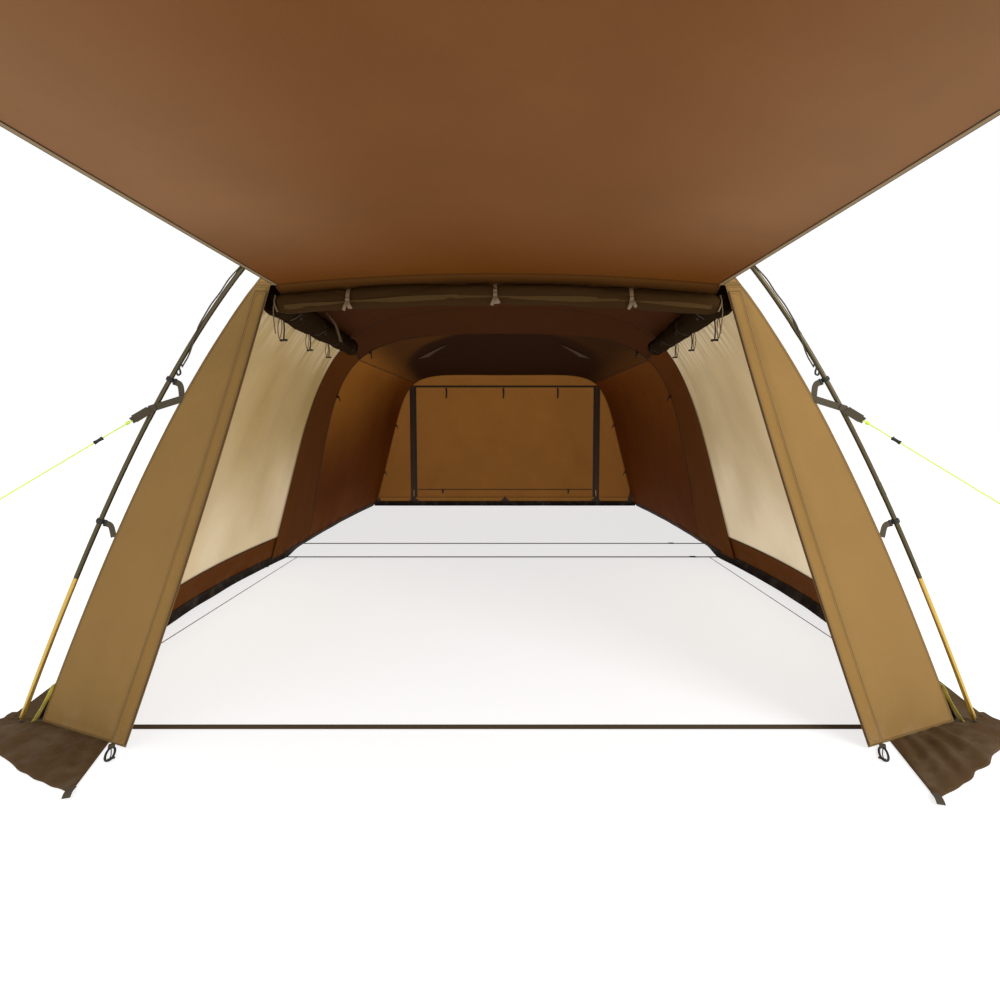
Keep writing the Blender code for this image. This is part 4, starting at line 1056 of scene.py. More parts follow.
FINISHES = (
    ClothFinish("tan_wings", TAN_OUTER, (0.17, 0.07, 0.02), crease=0.003, specular=0.15),
    # The flap cloth is the wing cloth a little darker, as painted shade on the folded band over the zip
    ClothFinish(
        "tan_flaps", (0.222, 0.126, 0.037), (0.17, 0.07, 0.02), crease=0.003, width=0.005, specular=0.10
    ),
    ClothFinish("brown_canopy", BROWN_OUTER, (0.118, 0.036, 0.003), lit=LIT_CANOPY, glow=0.05),
    # The roofs' room sides are darker copies of the walls' brown, painted shade under the roof; the bedroom
    # roof is painted darkest
    ClothFinish("brown_roof", BROWN_OUTER, (0.064, 0.019, 0.0035)),
    ClothFinish(
        "brown_bedroom_roof", BROWN_OUTER, (0.026, 0.008, 0.002), lit=LIT_ROOM, glow=0.38, shine=WARM
    ),
    ClothFinish("brown_walls", BROWN_OUTER, BROWN_INNER, glow=0.08, shine=WARM),
    ClothFinish("brown_bedroom", BROWN_OUTER, (0.104, 0.024, 0.0015), lit=LIT_ROOM, glow=0.36, shine=WARM),
    # The rear wall's room side is the brown cloth painted lighter and orange, as painted light coming
    # through it
    ClothFinish("backlit_rear", BROWN_OUTER, (0.215, 0.086, 0.018), glow=0.46),
    ClothFinish(
        "cream_doors",
        (0.62, 0.53, 0.37),
        (0.50, 0.335, 0.11),
        crease=0.002,
        lit=CREAM,
        glow=0.42,
        pitch=0.0009,
        specular=0.15,
    ),
    # The skirts are dark brown outside; their near-black inner side, seen from inside the tent, is painted
    # shade
    ClothFinish("black_skirts", (0.072, 0.040, 0.016), (0.014, 0.009, 0.006), hem=-0.15, specular=0.10),
    ClothFinish("olive_header", (0.083, 0.031, 0.006), (0.083, 0.031, 0.006)),
    ClothFinish(
        "rolled_mesh",
        (0.040, 0.019, 0.005),
        (0.03, 0.015, 0.004),
        crease=0.010,
        pitch=0.0011,
        dust=0.01,
        specular=0.04,
    ),
    # A darker copy of the rolled mesh, about half as bright, as painted shade on the side rolls under the
    # eaves
    ClothFinish(
        "rolled_side",
        (0.019, 0.009, 0.002),
        (0.02, 0.01, 0.002),
        crease=0.010,
        pitch=0.0011,
        dust=0.0,
        specular=0.02,
    ),
    # Strip on the mesh roll, painted paler than the roll as the highlight on its lit front-lower side
    ClothFinish("roll_fold", (0.072, 0.040, 0.013), (0.072, 0.040, 0.013), dust=0.02, specular=0.04),
    ClothFinish("grey_vents", (0.085, 0.045, 0.028), (0.085, 0.045, 0.028), width=0.004, specular=0.15),
    WebbingFinish("dark_webbing", (0.075, 0.058, 0.030)),
    WebbingFinish("ground_webbing", (0.100, 0.068, 0.034)),
    WebbingFinish("black_tape", (0.040, 0.018, 0.005), depth=0.0001, worn=(0.10, 0.045, 0.012)),
    WebbingFinish("pale_webbing", (0.24, 0.155, 0.080)),
    WebbingFinish("tan_binding", (0.33, 0.215, 0.095)),
    WebbingFinish("brown_tape", (0.062, 0.023, 0.004), depth=0.0001, worn=(0.10, 0.045, 0.012)),
    WebbingFinish("wing_edge", (0.110, 0.060, 0.020), pitch=0.0012),
    # Pale line along the wing flap's seam, painted lighter than the cloth as the highlight on the raised
    # seam
    WebbingFinish("seam_highlight", (0.275, 0.165, 0.065), pitch=0.0012),
    # The yellow webbing's glow is painted light, so that the foot tab looks lit in the canopy's shade
    WebbingFinish("yellow_webbing", (1.0, 0.82, 0.12), worn=(0.9, 0.70, 0.08), glow=0.50),
    WebbingFinish("lime_cord", (0.78, 0.92, 0.08), pitch=0.0012, worn=(0.5, 0.6, 0.05)),
    WebbingFinish("olive_cord", (0.10, 0.09, 0.06), pitch=0.0012),
    WebbingFinish("piping", (0.030, 0.014, 0.005), pitch=0.0012),
    TubeFinish("dark_pole", (0.66, 0.67, 0.52), roughness=0.22, metallic=1.0, scratch=(0.95, 0.95, 0.85)),
    TubeFinish("gold_pole", (0.90, 0.47, 0.035), roughness=0.25, metallic=1.0, scratch=(0.98, 0.70, 0.16)),
    TubeFinish("zip_metal", (0.50, 0.49, 0.47), roughness=0.3, metallic=1.0),
    PlasticFinish("black_plastic", (0.012, 0.011, 0.010)),
)


def look(name: str) -> bpy.types.Material:
    """Material of a finish, built at its first use."""
    return bpy.data.materials.get(name) or next(f for f in FINISHES if f.name == name).material()


@dataclass
class Studio:
    """White floor and surroundings, one soft key light and the photo's camera.

    Attributes:
        floor: half the floor's width.
        eye: place of the camera.
        lens: its focal length in millimetres.
        shift: how far its picture is shifted, in picture widths.
    """

    floor: float = 60.0
    eye: tuple[float, float, float] = (0.035, -4.0756, 1.075)
    lens: float = 21.06
    shift: tuple[float, float] = (-0.0077, -0.079)

    def build(self) -> None:
        """Make the floor, the light and the camera."""
        bm = bmesh.new()
        bmesh.ops.create_grid(
            bm, x_segments=1, y_segments=1, size=self.floor, matrix=Matrix.Translation((0, 0, -0.003))
        )
        floor = new_object("studio_floor", bm)
        made, _, shader = new_material("studio_white", 0.9)
        shader.inputs["Base Color"].default_value = (0.36, 0.36, 0.36, 1.0)
        shader.inputs["Emission Color"].default_value = (1.0, 1.0, 1.0, 1.0)
        shader.inputs["Emission Strength"].default_value = 0.74
        floor.data.materials.append(made)
        floor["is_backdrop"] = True
        scene = bpy.context.scene
        scene.view_settings.view_transform = "Standard"
        scene.world = bpy.data.worlds.new("studio")
        scene.world.use_nodes = True
        sky = scene.world.node_tree.nodes["Background"]
        sky.inputs["Color"].default_value = (1.0, 1.0, 1.0, 1.0)
        sky.inputs["Strength"].default_value = 1.0
        light = bpy.data.lights.new("key", "AREA")
        light.energy, light.size = 420.0, 4.0
        key = bpy.data.objects.new("key", light)
        key.location = (4.5, -7.5, 4.2)
        key.rotation_euler = (Vector((0.0, -1.5, 0.9)) - key.location).to_track_quat("-Z", "Y").to_euler()
        scene.collection.objects.link(key)
        lens = bpy.data.cameras.new("camera")
        lens.lens = self.lens
        lens.shift_x, lens.shift_y = self.shift
        camera = bpy.data.objects.new("camera", lens)
        camera.location = self.eye
        camera.rotation_euler = (math.pi / 2.0, 0.0, 0.0)
        scene.collection.objects.link(camera)
        scene.camera = camera


def row_frame(spot: Vector) -> Vector:
    """A place laid out in tent depths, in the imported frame."""
    return spot - Vector((0.0, ORIGIN_DEPTH, 0.0))


@dataclass
class Guys:
    """One front guy: strap over the pole, doubled line with its knots, runner and ground loop.

    Attributes:
        side: the tent's side that it stands on.
        strap_width: width of the strap.
        strap_thick: thickness of the strap.
        share: where the strap ends, as a share of the way from the pole to the ground.
        runner: its start along the line, length, outer radius and bore radius.
    """

    side: Side
    strap_width: float = 0.025
    strap_thick: float = 0.002
    share: float = 0.041
    runner: tuple[float, float, float, float] = (0.100, 0.030, 0.007, 0.0026)

    def points(self) -> tuple[Vector, Vector, Vector, Vector]:
        """The seam end, the place over the pole, the strap's end and the ground end."""
        sign = self.side.value
        x, z = FRONT.outline(FRONT.at_height(1.150))
        seam = Vector((sign * (x + 0.007), -FACE - FACE - self.strap_thick, z))
        over = FRONT.pole_at(1.121, sign) - Vector((0.0, POLE_RADIUS + self.strap_thick, 0.0))
        ground = Vector((sign * GUY_GROUND[0], GUY_GROUND[1], GUY_RADIUS + CLEAR))
        return seam, over, over.lerp(ground, self.share), ground

    def line(self) -> None:
        """The line to the ground with its second strand, knots, loop and runner."""
        label, sign = self.side.label, self.side.value
        _, _, end, ground = self.points()
        along = (ground - end).normalized()
        beside = along.cross(UP).normalized()
        path = [end.lerp(ground, s) for s in spread(0.0, 1.0, 40)]
        node, ring = f"guy_line_{label}", circle(GUY_RADIUS, 12)
        cord = strand(f"{node}_cord", path, ring, "lime_cord", "lime_cord", (node,))
        bm = bmesh.new()
        vee = [
            end + beside * 0.016 * sign,
            end + beside * 0.010 * sign + along * 0.004,
            end + beside * 0.0042 * sign + along * 0.010,
        ]
        sweep(bm, smooth_path(vee), circle(GUY_RADIUS, 10))
        self.knot(bm, end + along * 0.0125, along)
        self.knot(bm, ground - along * 0.075, along)
        loop = [
            ground - along * 0.07 + beside * 0.0042,
            ground - along * 0.04 + beside * 0.012,
            ground - along * 0.005 + beside * 0.006,
        ]
        loop = [Vector((p.x, p.y, max(p.z, GUY_RADIUS))) for p in smooth_path(loop)]
        sweep(bm, loop, circle(GUY_RADIUS, 10))
        knots = seat(new_object(f"guy_knots_{label}", bm), "lime_cord", "lime_cord")
        start, length, radius, bore = self.runner
        centre = end + along * (start + length / 2.0)
        half, lip = length / 2.0, 0.0012
        waist = radius - 0.0016
        profile = [(bore, -half), (radius - lip, -half), (radius, -half + lip), (waist, -half * 0.3)]
        profile += [(waist, half * 0.3), (radius, half - lip), (radius - lip, half), (bore, half)]
        bm = bmesh.new()
        turned(bm, profile, centre, along, 28)
        body = f"guy_runner_{label}"
        runner = seat(new_object(f"{body}_moulding", bm), "black_plastic", "black_plastic", (body,), body)
        places = [row_frame(p) for p in path]
        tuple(places[0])

    def knot(self, bm: bmesh.types.BMesh, centre: Vector, along: Vector) -> None:
        """Three tight turns of line round itself."""
        across = along.orthogonal().normalized()
        third = along.cross(across)
        path = []
        for a in spread(0.0, 6.0 * math.pi, 48):
            turn = across * math.cos(a) + third * math.sin(a)
            path.append(centre + turn * (GUY_RADIUS * 2.0) + along * (a / (6.0 * math.pi) - 0.5) * 0.011)
        sweep(bm, path, circle(GUY_RADIUS * 0.95, 8), along)

    def strap(self) -> None:
        """The webbing strap from the cloth's edge over the pole, with its stitched patch."""
        sign, label = self.side.value, self.side.label
        seam, over, end, ground = self.points()
        along = (ground - end).normalized()
        before = over - Vector((sign * POLE_RADIUS, 0.0, 0.0))
        before.z = mix(over.z, seam.z, POLE_RADIUS / abs(over.x - seam.x))
        inner = seam + (seam - before).normalized() * 0.020
        path = [inner, seam, before, over, over.lerp(end, 0.5), end - along * (3.0 * CLEAR)]
        node, ring = f"guy_strap_{label}", band(self.strap_width, self.strap_thick)
        strand(f"{node}_webbing", path, ring, "dark_webbing", "dark_webbing", (node,), up=AHEAD)
        bm = bmesh.new()
        path = [over.lerp(end, s) - Vector((0.0, 0.0024, 0.0)) for s in (0.15, 0.85)]
        sweep(bm, path, band(self.strap_width * 1.25, 0.0016), AHEAD)
        place = facing(before - over, AHEAD, over - Vector((0.0, 0.0026, 0.0)))
        block(bm, (0.026, 0.024, 0.0022), place, 0.0008)
        seat(new_object(f"guy_patch_{label}", bm), "dark_webbing", "dark_webbing")

    def build(self) -> None:
        """Make the line first, then its strap."""
        self.line()
        self.strap()


@dataclass
class SideCord:
    """Thin cord on the ground between the front and the first middle pole's foot."""

    side: Side
    radius: float = 0.002

    def build(self) -> None:
        sign, label = self.side.value, self.side.label
        half, height = STRAP_WIDTH / 2.0, self.radius + CLEAR / 3.0
        start = Vector((sign * (FRONT.foot + 0.014), half + CLEAR, height))
        end = Vector((sign * (FRONT.foot - 0.005), MIDDLE_FRONT.depth - half - CLEAR, height))
        path = [start.lerp(end, s) for s in spread(0.0, 1.0, 50)]
        node, ring = f"side_cord_{label}", circle(self.radius, 10)
        cord = strand(f"{node}_braid", path, ring, "olive_cord", "olive_cord", (node,))
        places = [row_frame(p) for p in path]
        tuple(places[0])


@dataclass
class Shell:
    """Fixed cloth of the tent: roofs, walls and pillars, with their seams, vents and ties.

    Attributes:
        step: distance between the cloth's stations.
        flare: how far a pillar's foot is drawn forward.
        rise: half a seam under the eave, as a change of the outline's parameter.
    """

    step: float = 0.026
    flare: float = 0.15
    rise: float = field(init=False)

    def __post_init__(self) -> None:
        """Work out the half seam under the eave."""
        self.rise = FRONT.step(EAVE, SEAM / 2.0)

    def roof(self, node: str, bay: Bay, on: Sequence[str], finish: str = "brown_roof") -> None:
        """One roof panel from eave to eave."""
        low, high = bay.inset(bay.front.depth, bay.back.depth)

        def point(u: float, v: float) -> Vector:
            across = 2.0 * u - 1.0
            t = 1.0 - abs(across) * (1.0 - EAVE - self.rise)
            return bay.skin(mix(low, high, v), t, math.copysign(1.0, across))

        def fold(x: float, y: float) -> float:
            return 0.006 * rumple(x, y, 0.30, bay.flare, 1.6) + 0.004 * tension(x, y, 0.16, 3.0, 0.5)

        def light(spot: Vector) -> float:
            back = spot.y - MIDDLE_REAR.depth
            border = 1.10 - 0.66 * math.exp(-max(0.0, back) / 0.45)
            dim = 1.0 if spot.x < 0.0 else 0.38
            near, far = ease(abs(spot.x), border - 0.10, border + 0.05), ease(abs(spot.x), 0.98, 1.34)
            return dim * (0.28 * near + 0.72 * far) * (1.0 - 0.30 * ease(back, 0.3, 1.9))

        panel = Panel(f"{node}_cloth", point, fold, self.step, light=light)
        panel.hang("brown_cloth", finish, node, on)

    def wall(
        self,
        node: str,
        bay: Bay,
        depths: tuple[float, float],
        heights: tuple[float, float],
        side: Side,
        finish: str = "brown_walls",
        light: Callable[[Vector], float] | None = None,
    ) -> None:
        """One wall panel between two depths; a height of 0 stands for the eave."""
        shares = bay.inset(*depths)

        def point(u: float, v: float) -> Vector:
            share = mix(*shares, u)
            low = bay.at_height(share, heights[0] + SEAM / 2.0)
            high = bay.at_height(share, heights[1] - SEAM / 2.0) if heights[1] else EAVE - self.rise
            return bay.skin(share, mix(low, high, v), side.value)

        def fold(x: float, y: float) -> float:
            seed = side.value + depths[0]
            pulled = tension(x, y, 0.12, seed, 0.35 * side.value)
            return 0.006 * rumple(x, y, 0.22, seed, 2.5) + 0.004 * pulled

        panel = Panel(f"{node}_cloth", point, fold, self.step, light=light)
        panel.hang("brown_cloth", finish, node, ["front_arch_pole", "rear_arch"])

    def pillar(self, side: Side) -> None:
        """Wall strip between the side door and the second middle arch."""
        first, last = DOOR_REAR + SEAM / 2.0, MIDDLE_REAR.depth - SEAM / 2.0

        def point(u: float, v: float) -> Vector:
            flap = max(0.0, 1.0 - u / 0.15)
            depth = mix(first, last, u) - self.flare * (1.0 - v) * flap
            bay = bay_at(depth)
            share = bay.share(depth)
            low = bay.at_height(share, WALL_LOW)
            spot = bay.skin(share, mix(low, EAVE - self.rise, v), side.value)
            spot.x -= side.value * 0.012 * ease(flap, 0.0, 0.4) * (1.0 - v) ** 0.3
            return spot

        def fold(x: float, y: float) -> float:
            return 0.005 * rumple(x, y, 0.16, side.value, 2.0)

        node = f"pillar_{side.label}"
        panel = Panel(f"{node}_cloth", point, fold, self.step)
        arches = ["middle_arch_front", "middle_arch_rear"]
        panel.hang("brown_cloth", "brown_walls", node, arches)

    def seams(self) -> None:
        """Dark bound seams along the eaves, the middle arches and the doors, on the room side."""
        bm = bmesh.new()
        for side in (-1.0, 1.0):
            lines = [
                [BEDROOM.skin(s, EAVE, side) for s in spread(0.005, 0.99, 30)],
                [BRIDGE.skin(0.97, t, side) for t in spread(0.06, 0.80, 50)],
                [LIVING.skin(s, LIVING.at_height(s, BAND_TOP), side) for s in spread(0.085, 0.94, 40)],
                [LIVING.skin(0.995, t, side) for t in spread(EAVE, 0.72, 16)],
                [BRIDGE.skin(s, EAVE, side) for s in spread(-0.20, 0.96, 12)],
            ]
            for line in lines:
                inward = [Vector((0.0, p.y, 0.9)) - p for p in line]
                path = [p + n.normalized() * 0.0024 for p, n in zip(line, inward)]
                sweep(bm, path, circle(0.0020, 6), inward[0])
        seat(new_object("room_seams", bm), "dark_webbing", "piping")

    def vents(self) -> None:
        """Grey strips under the bedroom roof beside the middle arch."""
        for side in Side:

            def point(u: float, v: float, sign: float = side.value) -> Vector:
                share, t = mix(0.13, 0.36, u) + 0.02 * v, mix(0.874, 0.785, u) - mix(0.010, 0.048, u) * v
                return BEDROOM.skin(share, t, sign) - Vector((sign * 0.003, 0.0, 0.0045))

            panel = Panel(f"roof_vent_{side.label}", point, None, 0.02, hem=0.004)
            panel.hang("black_cloth", "grey_vents", "", ["bedroom_roof"])

    def ties(self) -> None:
        """Dark knots of the inner tent's ties, on the middle and rear arches."""
        bm = bmesh.new()
        for section, heights, ahead in ((MIDDLE_REAR, (1.29, 1.68), 0.012), (REAR, (0.43, 1.02), 0.022)):
            for height, sign in ((h, s) for h in heights for s in (-1.0, 1.0)):
                t = section.at_height(height)
                (x, z), (nx, nz) = section.outline(t), section.outward(t)
                out = Vector((sign * nx, 0.0, nz))
                spot = Vector((sign * x, section.plane(z) - ahead, z)) - out * 0.014
                block(bm, (0.034, 0.022, 0.016), facing(BEHIND, out, spot), 0.005)
                ends = [(0.0, 0.0, 0.0), (0.016, 0.01, 0.010), (0.020, 0.004, 0.032)]
                path = [spot - out * off - Vector((0.0, ahead_by, drop)) for off, ahead_by, drop in ends]
                sweep(bm, smooth_path(path), band(0.010, 0.0016), BEHIND)
        seat(new_object("room_ties", bm), "dark_webbing", "black_tape")

    def build(self) -> None:
        """Make all fixed panels."""
        self.ties()
        self.seams()
        self.vents()
        self.roof("living_roof", LIVING, ["front_arch_pole", "middle_arch_front"])
        self.roof("bridge_roof", BRIDGE, ["middle_arch_front", "middle_arch_rear"])
        self.roof("bedroom_roof", BEDROOM, ["middle_arch_rear", "rear_arch"], "brown_bedroom_roof")

        def light(spot: Vector) -> float:
            back = (spot.y - MIDDLE_REAR.depth) / (REAR.depth - MIDDLE_REAR.depth)
            cloud = 0.08 * noise.noise(spot * 2.2)
            low = 0.16 * ease(spot.z, 0.5, 0.1) * (1.0 - back)
            full = max(0.0, 1.0 - 1.25 * back) * ease(spot.z, 0.35, 1.35) + 0.14 * ease(spot.z, 0.9, 1.5)
            return clamp(full + low + cloud) * (1.0 if spot.x < 0.0 else 0.30)

        for side in Side:
            door, rear = (DOOR_FRONT, DOOR_REAR), (MIDDLE_REAR.depth, REAR.depth)
            self.wall(f"corner_panel_{side.label}", LIVING, (0.0, DOOR_FRONT), (WALL_LOW, 0.0), side)
            self.wall(f"side_band_{side.label}", LIVING, door, (WALL_LOW, BAND_TOP), side)
            node = f"bedroom_wall_{side.label}"
            self.wall(node, BEDROOM, rear, (WALL_LOW, 0.0), side, "brown_bedroom", light)
            self.pillar(side)


@dataclass
class SideDoor:
    """Hanging translucent side door with its gathers.

    Attributes:
        side: the tent's side that it hangs on.
        depth: half the depth of its gathers.
        gathers: how many there are.
        step: distance between the cloth's stations.
    """

    side: Side
    depth: float = 0.006
    gathers: int = 7
    step: float = 0.016

    def build(self) -> None:
        """Make the door on its own body."""
        low_share, high_share = LIVING.inset(DOOR_FRONT, DOOR_REAR)
        drop = MIDDLE_FRONT.step(EAVE, HINGE_GAP - SEAM / 2.0 + 0.0016)
        sign = self.side.value

        def point(u: float, v: float) -> Vector:
            share = mix(low_share, high_share, u)
            low = LIVING.at_height(share, BAND_TOP + SEAM / 2.0)
            spot = LIVING.skin(share, mix(low, EAVE - drop, v), sign)
            within = 0.0 < u < 1.0 and 0.0 < v < 1.0
            calm = math.sin(math.pi * u) ** 0.5 * math.sin(math.pi * v) ** 0.7 if within else 0.0
            wave = math.sin(TURN * self.gathers * u + 1.3 * math.sin(5.0 * u) + 0.8 * v)
            fine = noise.noise(Vector((u * 60.0, v * 2.2, 3.0 + sign)))
            gather = self.depth * wave * (0.25 + 0.75 * v * v) + 0.008 * fine * ease(v, 0.84, 1.0)
            spot.x += sign * calm * gather
            return spot

        def fold(x: float, y: float) -> float:
            return 0.003 * rumple(x, y, 0.12, 5.0 + sign, 3.0)

        def light(spot: Vector) -> float:
            streak = noise.noise(Vector((spot.y * 20.0, spot.z * 1.2, sign)))
            top = ease(spot.z, 1.36, 1.55)
            low = 1.0 - ease(spot.z, 0.25, 1.15)
            cloud = 0.25 * noise.noise(Vector((spot.y * 2.0, spot.z * 2.0 + spot.y, 3.0 * sign)))
            base = 0.36 if sign > 0.0 else 0.16
            return clamp(base + 0.42 * low * (1.0 + cloud) + cloud * 0.5 + top * (0.14 + 0.45 * streak))

        node = f"side_door_{self.side.label}"
        panel = Panel(f"{node}_cloth", point, fold, self.step, light=light)
        roll = f"side_roll_{self.side.label}"
        panel.hang("cream_cloth", "cream_doors", node, [roll], node)


@dataclass
class Front:
    """Front gable, wings, their zip flaps and the piping along the edges."""

    step: float = 0.020
    flap: tuple[float, float] = (0.066, 0.045)

    def gable(self) -> None:
        """Panel between the root seam and the front arch."""

        def point(u: float, v: float) -> Vector:
            side = 2.0 * u - 1.0
            x, z = FRONT.outline(1.0 - abs(side) * (1.0 - EAVE))
            across = math.copysign(x, side)
            return Vector((across, -FACE, mix(root_line(across), z, v)))

        panel = Panel("front_gable_cloth", point, lambda x, y: 0.003 * rumple(x, y, 0.2, 2.0), self.step)
        panel.hang("tan_cloth", "tan_wings", "front_gable", ["front_arch_pole"])

    def wing(self, side: Side) -> None:
        """One wing, with folds that run out of its pegged corner."""
        sign = side.value
        start, end = FRONT.at_height(WING_LIFT), FRONT.at_height(ROOT_HEIGHT - SEAM)

        def point(u: float, v: float) -> Vector:
            x, z = FRONT.outline(mix(start, end, v))
            inner = wing_inner(v, sign)
            spot = Vector((sign * x, -FACE, z))
            aside = (1.0 - u) * (spot - inner).length
            ridge = math.exp(-(((aside - mix(0.105, 0.070, v)) / 0.012) ** 2))
            ridge += 0.6 * math.exp(-(((aside - mix(0.150, 0.095, v)) / 0.016) ** 2)) * ease(v, 0.2, 0.9)
            spot = spot.lerp(inner, u)
            spot.y -= 0.0055 * ridge * math.sin(math.pi * clamp(v)) ** 0.3
            return spot

        def fold(x: float, y: float) -> float:
            corner = Vector((x - 0.21, y))
            angle = math.atan2(corner.y, -corner.x)
            fan = max(0.0, math.sin(angle * 11.0 + sign))
            pull = math.exp(-corner.length / 0.22) * fan * (1.4 if sign > 0.0 else 0.6)
            loose = 0.005 * rumple(x, y, 0.20, sign, 2.2)
            return 0.006 * pull + loose + 0.003 * tension(x, y, 0.10, sign, 0.9)

        node = f"front_wing_{side.label}"
        panel = Panel(f"{node}_cloth", point, fold, self.step)
        panel.hang("tan_cloth", "tan_wings", node, ["front_arch_pole"])

    def flaps(self, side: Side) -> None:
        """Folded band over the zip, along the wing's inner edge."""
        sign, out = side.value, wing_outward(side.value)

        def point(u: float, v: float) -> Vector:
            v = mix(0.004, 0.985, v)
            inner = wing_inner(v, sign)
            x, z = FRONT.outline(mix(FRONT.at_height(WING_LIFT), FRONT.at_height(ROOT_HEIGHT - SEAM), v))
            across = (Vector((sign * x, -FACE, z)) - inner).normalized()
            return inner + across * mix(mix(*self.flap, v), 0.001, u) + out * 0.006

        def fold(x: float, y: float) -> float:
            return 0.0015 * rumple(x, y, 0.10, sign, 3.0)

        panel = Panel(f"wing_flap_{side.label}", point, fold, self.step, hem=0.005, calm=0.02)
        panel.hang("tan_cloth", "tan_flaps", "", [f"front_wing_{side.label}"])
        # The piping is the dark zip edge; the seam is a raised line along the flap's fold, painted paler
        # than the cloth as its highlight
        for name, u, off, radius, slot, finish in (
            ("wing_piping", 1.0, 0.001, 0.0014, "dark_webbing", "wing_edge"),
            ("wing_seam", 0.0, 0.0004, 0.0016, "tan_cloth", "seam_highlight"),
        ):
            path = [point(u, v) + out * off for v in spread(0.0, 1.0, 60)]
            strand(f"{name}_{side.label}", path, circle(radius, 8), slot, finish)

    def build(self) -> None:
        """Make the whole front."""
        self.gable()
        for side in Side:
            self.wing(side)
            self.flaps(side)


@dataclass
class Canopy:
    """Raised front door with bound edges and eyelets.

    Attributes:
        step: distance between the cloth's stations.
        piping: radius of the piping along its edges.
        binding: width and thickness of the tape along its edges.
        eyelet: inner and outer radius of its eyelets.
    """

    step: float = 0.022
    piping: float = 0.0019
    binding: tuple[float, float] = (0.0130, 0.0014)
    eyelet: tuple[float, float] = (0.0050, 0.0105)

    def build(self) -> None:
        """Make the canopy and what is sewn to it, all on its own body."""

        def point(u: float, v: float) -> Vector:
            return canopy_point(2.0 * u - 1.0, v)

        def fold(x: float, y: float) -> float:
            pull = 0.0
            for side in (-1.0, 1.0):
                corner = Vector((x - side * 1.14, y - 1.52))
                angle = math.atan2(-corner.y, -side * corner.x)
                pull += math.exp(-corner.length / 0.35) * math.sin(angle * 13.0)
            return 0.004 * pull + 0.004 * rumple(x, y, 0.30, 8.0) + 0.002 * tension(x, y, 0.2, 1.0, 1.5)

        def light(spot: Vector) -> float:
            out = -spot.y / CANOPY_LENGTH
            wide = abs(spot.x) / mix(ROOT_HALF, CANOPY_HALF, out)
            cloud = 0.10 * noise.noise(spot * 1.7)
            return clamp(ease(out, -0.02, 0.36) * (0.36 + 0.64 * ease(wide, 0.25, 0.95)) + cloud)

        def beside(side: float, v: float, inset: float, drop: float) -> Vector:
            share = 1.0 - inset / mix(ROOT_HALF, CANOPY_HALF, v)
            return canopy_point(side * share, v) - Vector((0.0, 0.0, drop))

        below = Vector((0.0, -0.8, 0.8))
        panel = Panel("canopy_cloth", point, fold, self.step, hem=0.016, light=light, inside=below)
        panel.hang("brown_cloth", "brown_canopy", "canopy", ["front_gable"], "canopy")
        bm = bmesh.new()
        for side in (0.0, 1.0):
            sweep(bm, [point(side, v) for v in spread(0.005, 0.998, 60)], circle(self.piping, 8))
        sweep(bm, [point(u, 1.0) for u in spread(0.002, 0.998, 80)], circle(self.piping, 8))
        for side in (-1.0, 1.0):
            inner = [beside(side, v, 0.0175, 0.0020) for v in spread(0.004, 0.985, 60)]
            sweep(bm, inner, circle(0.0011, 6))
        seat(new_object("canopy_piping", bm), "dark_webbing", "piping", (), "canopy")
        bm = bmesh.new()
        tape, drop = band(*self.binding), 0.0024
        for side in (-1.0, 1.0):
            sweep(bm, [beside(side, v, 0.0095, drop) for v in spread(0.003, 0.992, 60)], tape)
        sweep(bm, [point(u, 0.9945) - Vector((0.0, 0.0, drop)) for u in spread(0.01, 0.99, 80)], tape)
        seat(new_object("canopy_binding", bm), "tan_cloth", "tan_binding", (), "canopy")
        for side in Side:
            spot = eyelet_place(side.value)
            up = Vector((0.0, math.sin(CANOPY_RISE), math.cos(CANOPY_RISE)))
            bm = bmesh.new()
            bore, rim = self.eyelet
            profile = [(bore, -0.0022), (rim, -0.0016), (rim, -0.0009), (rim, 0.0016), (bore, 0.0022)]
            turned(bm, profile, spot, up, 32)
            seat(new_object(f"canopy_eyelet_{side.label}", bm), "zip_metal", "zip_metal", (), "canopy")


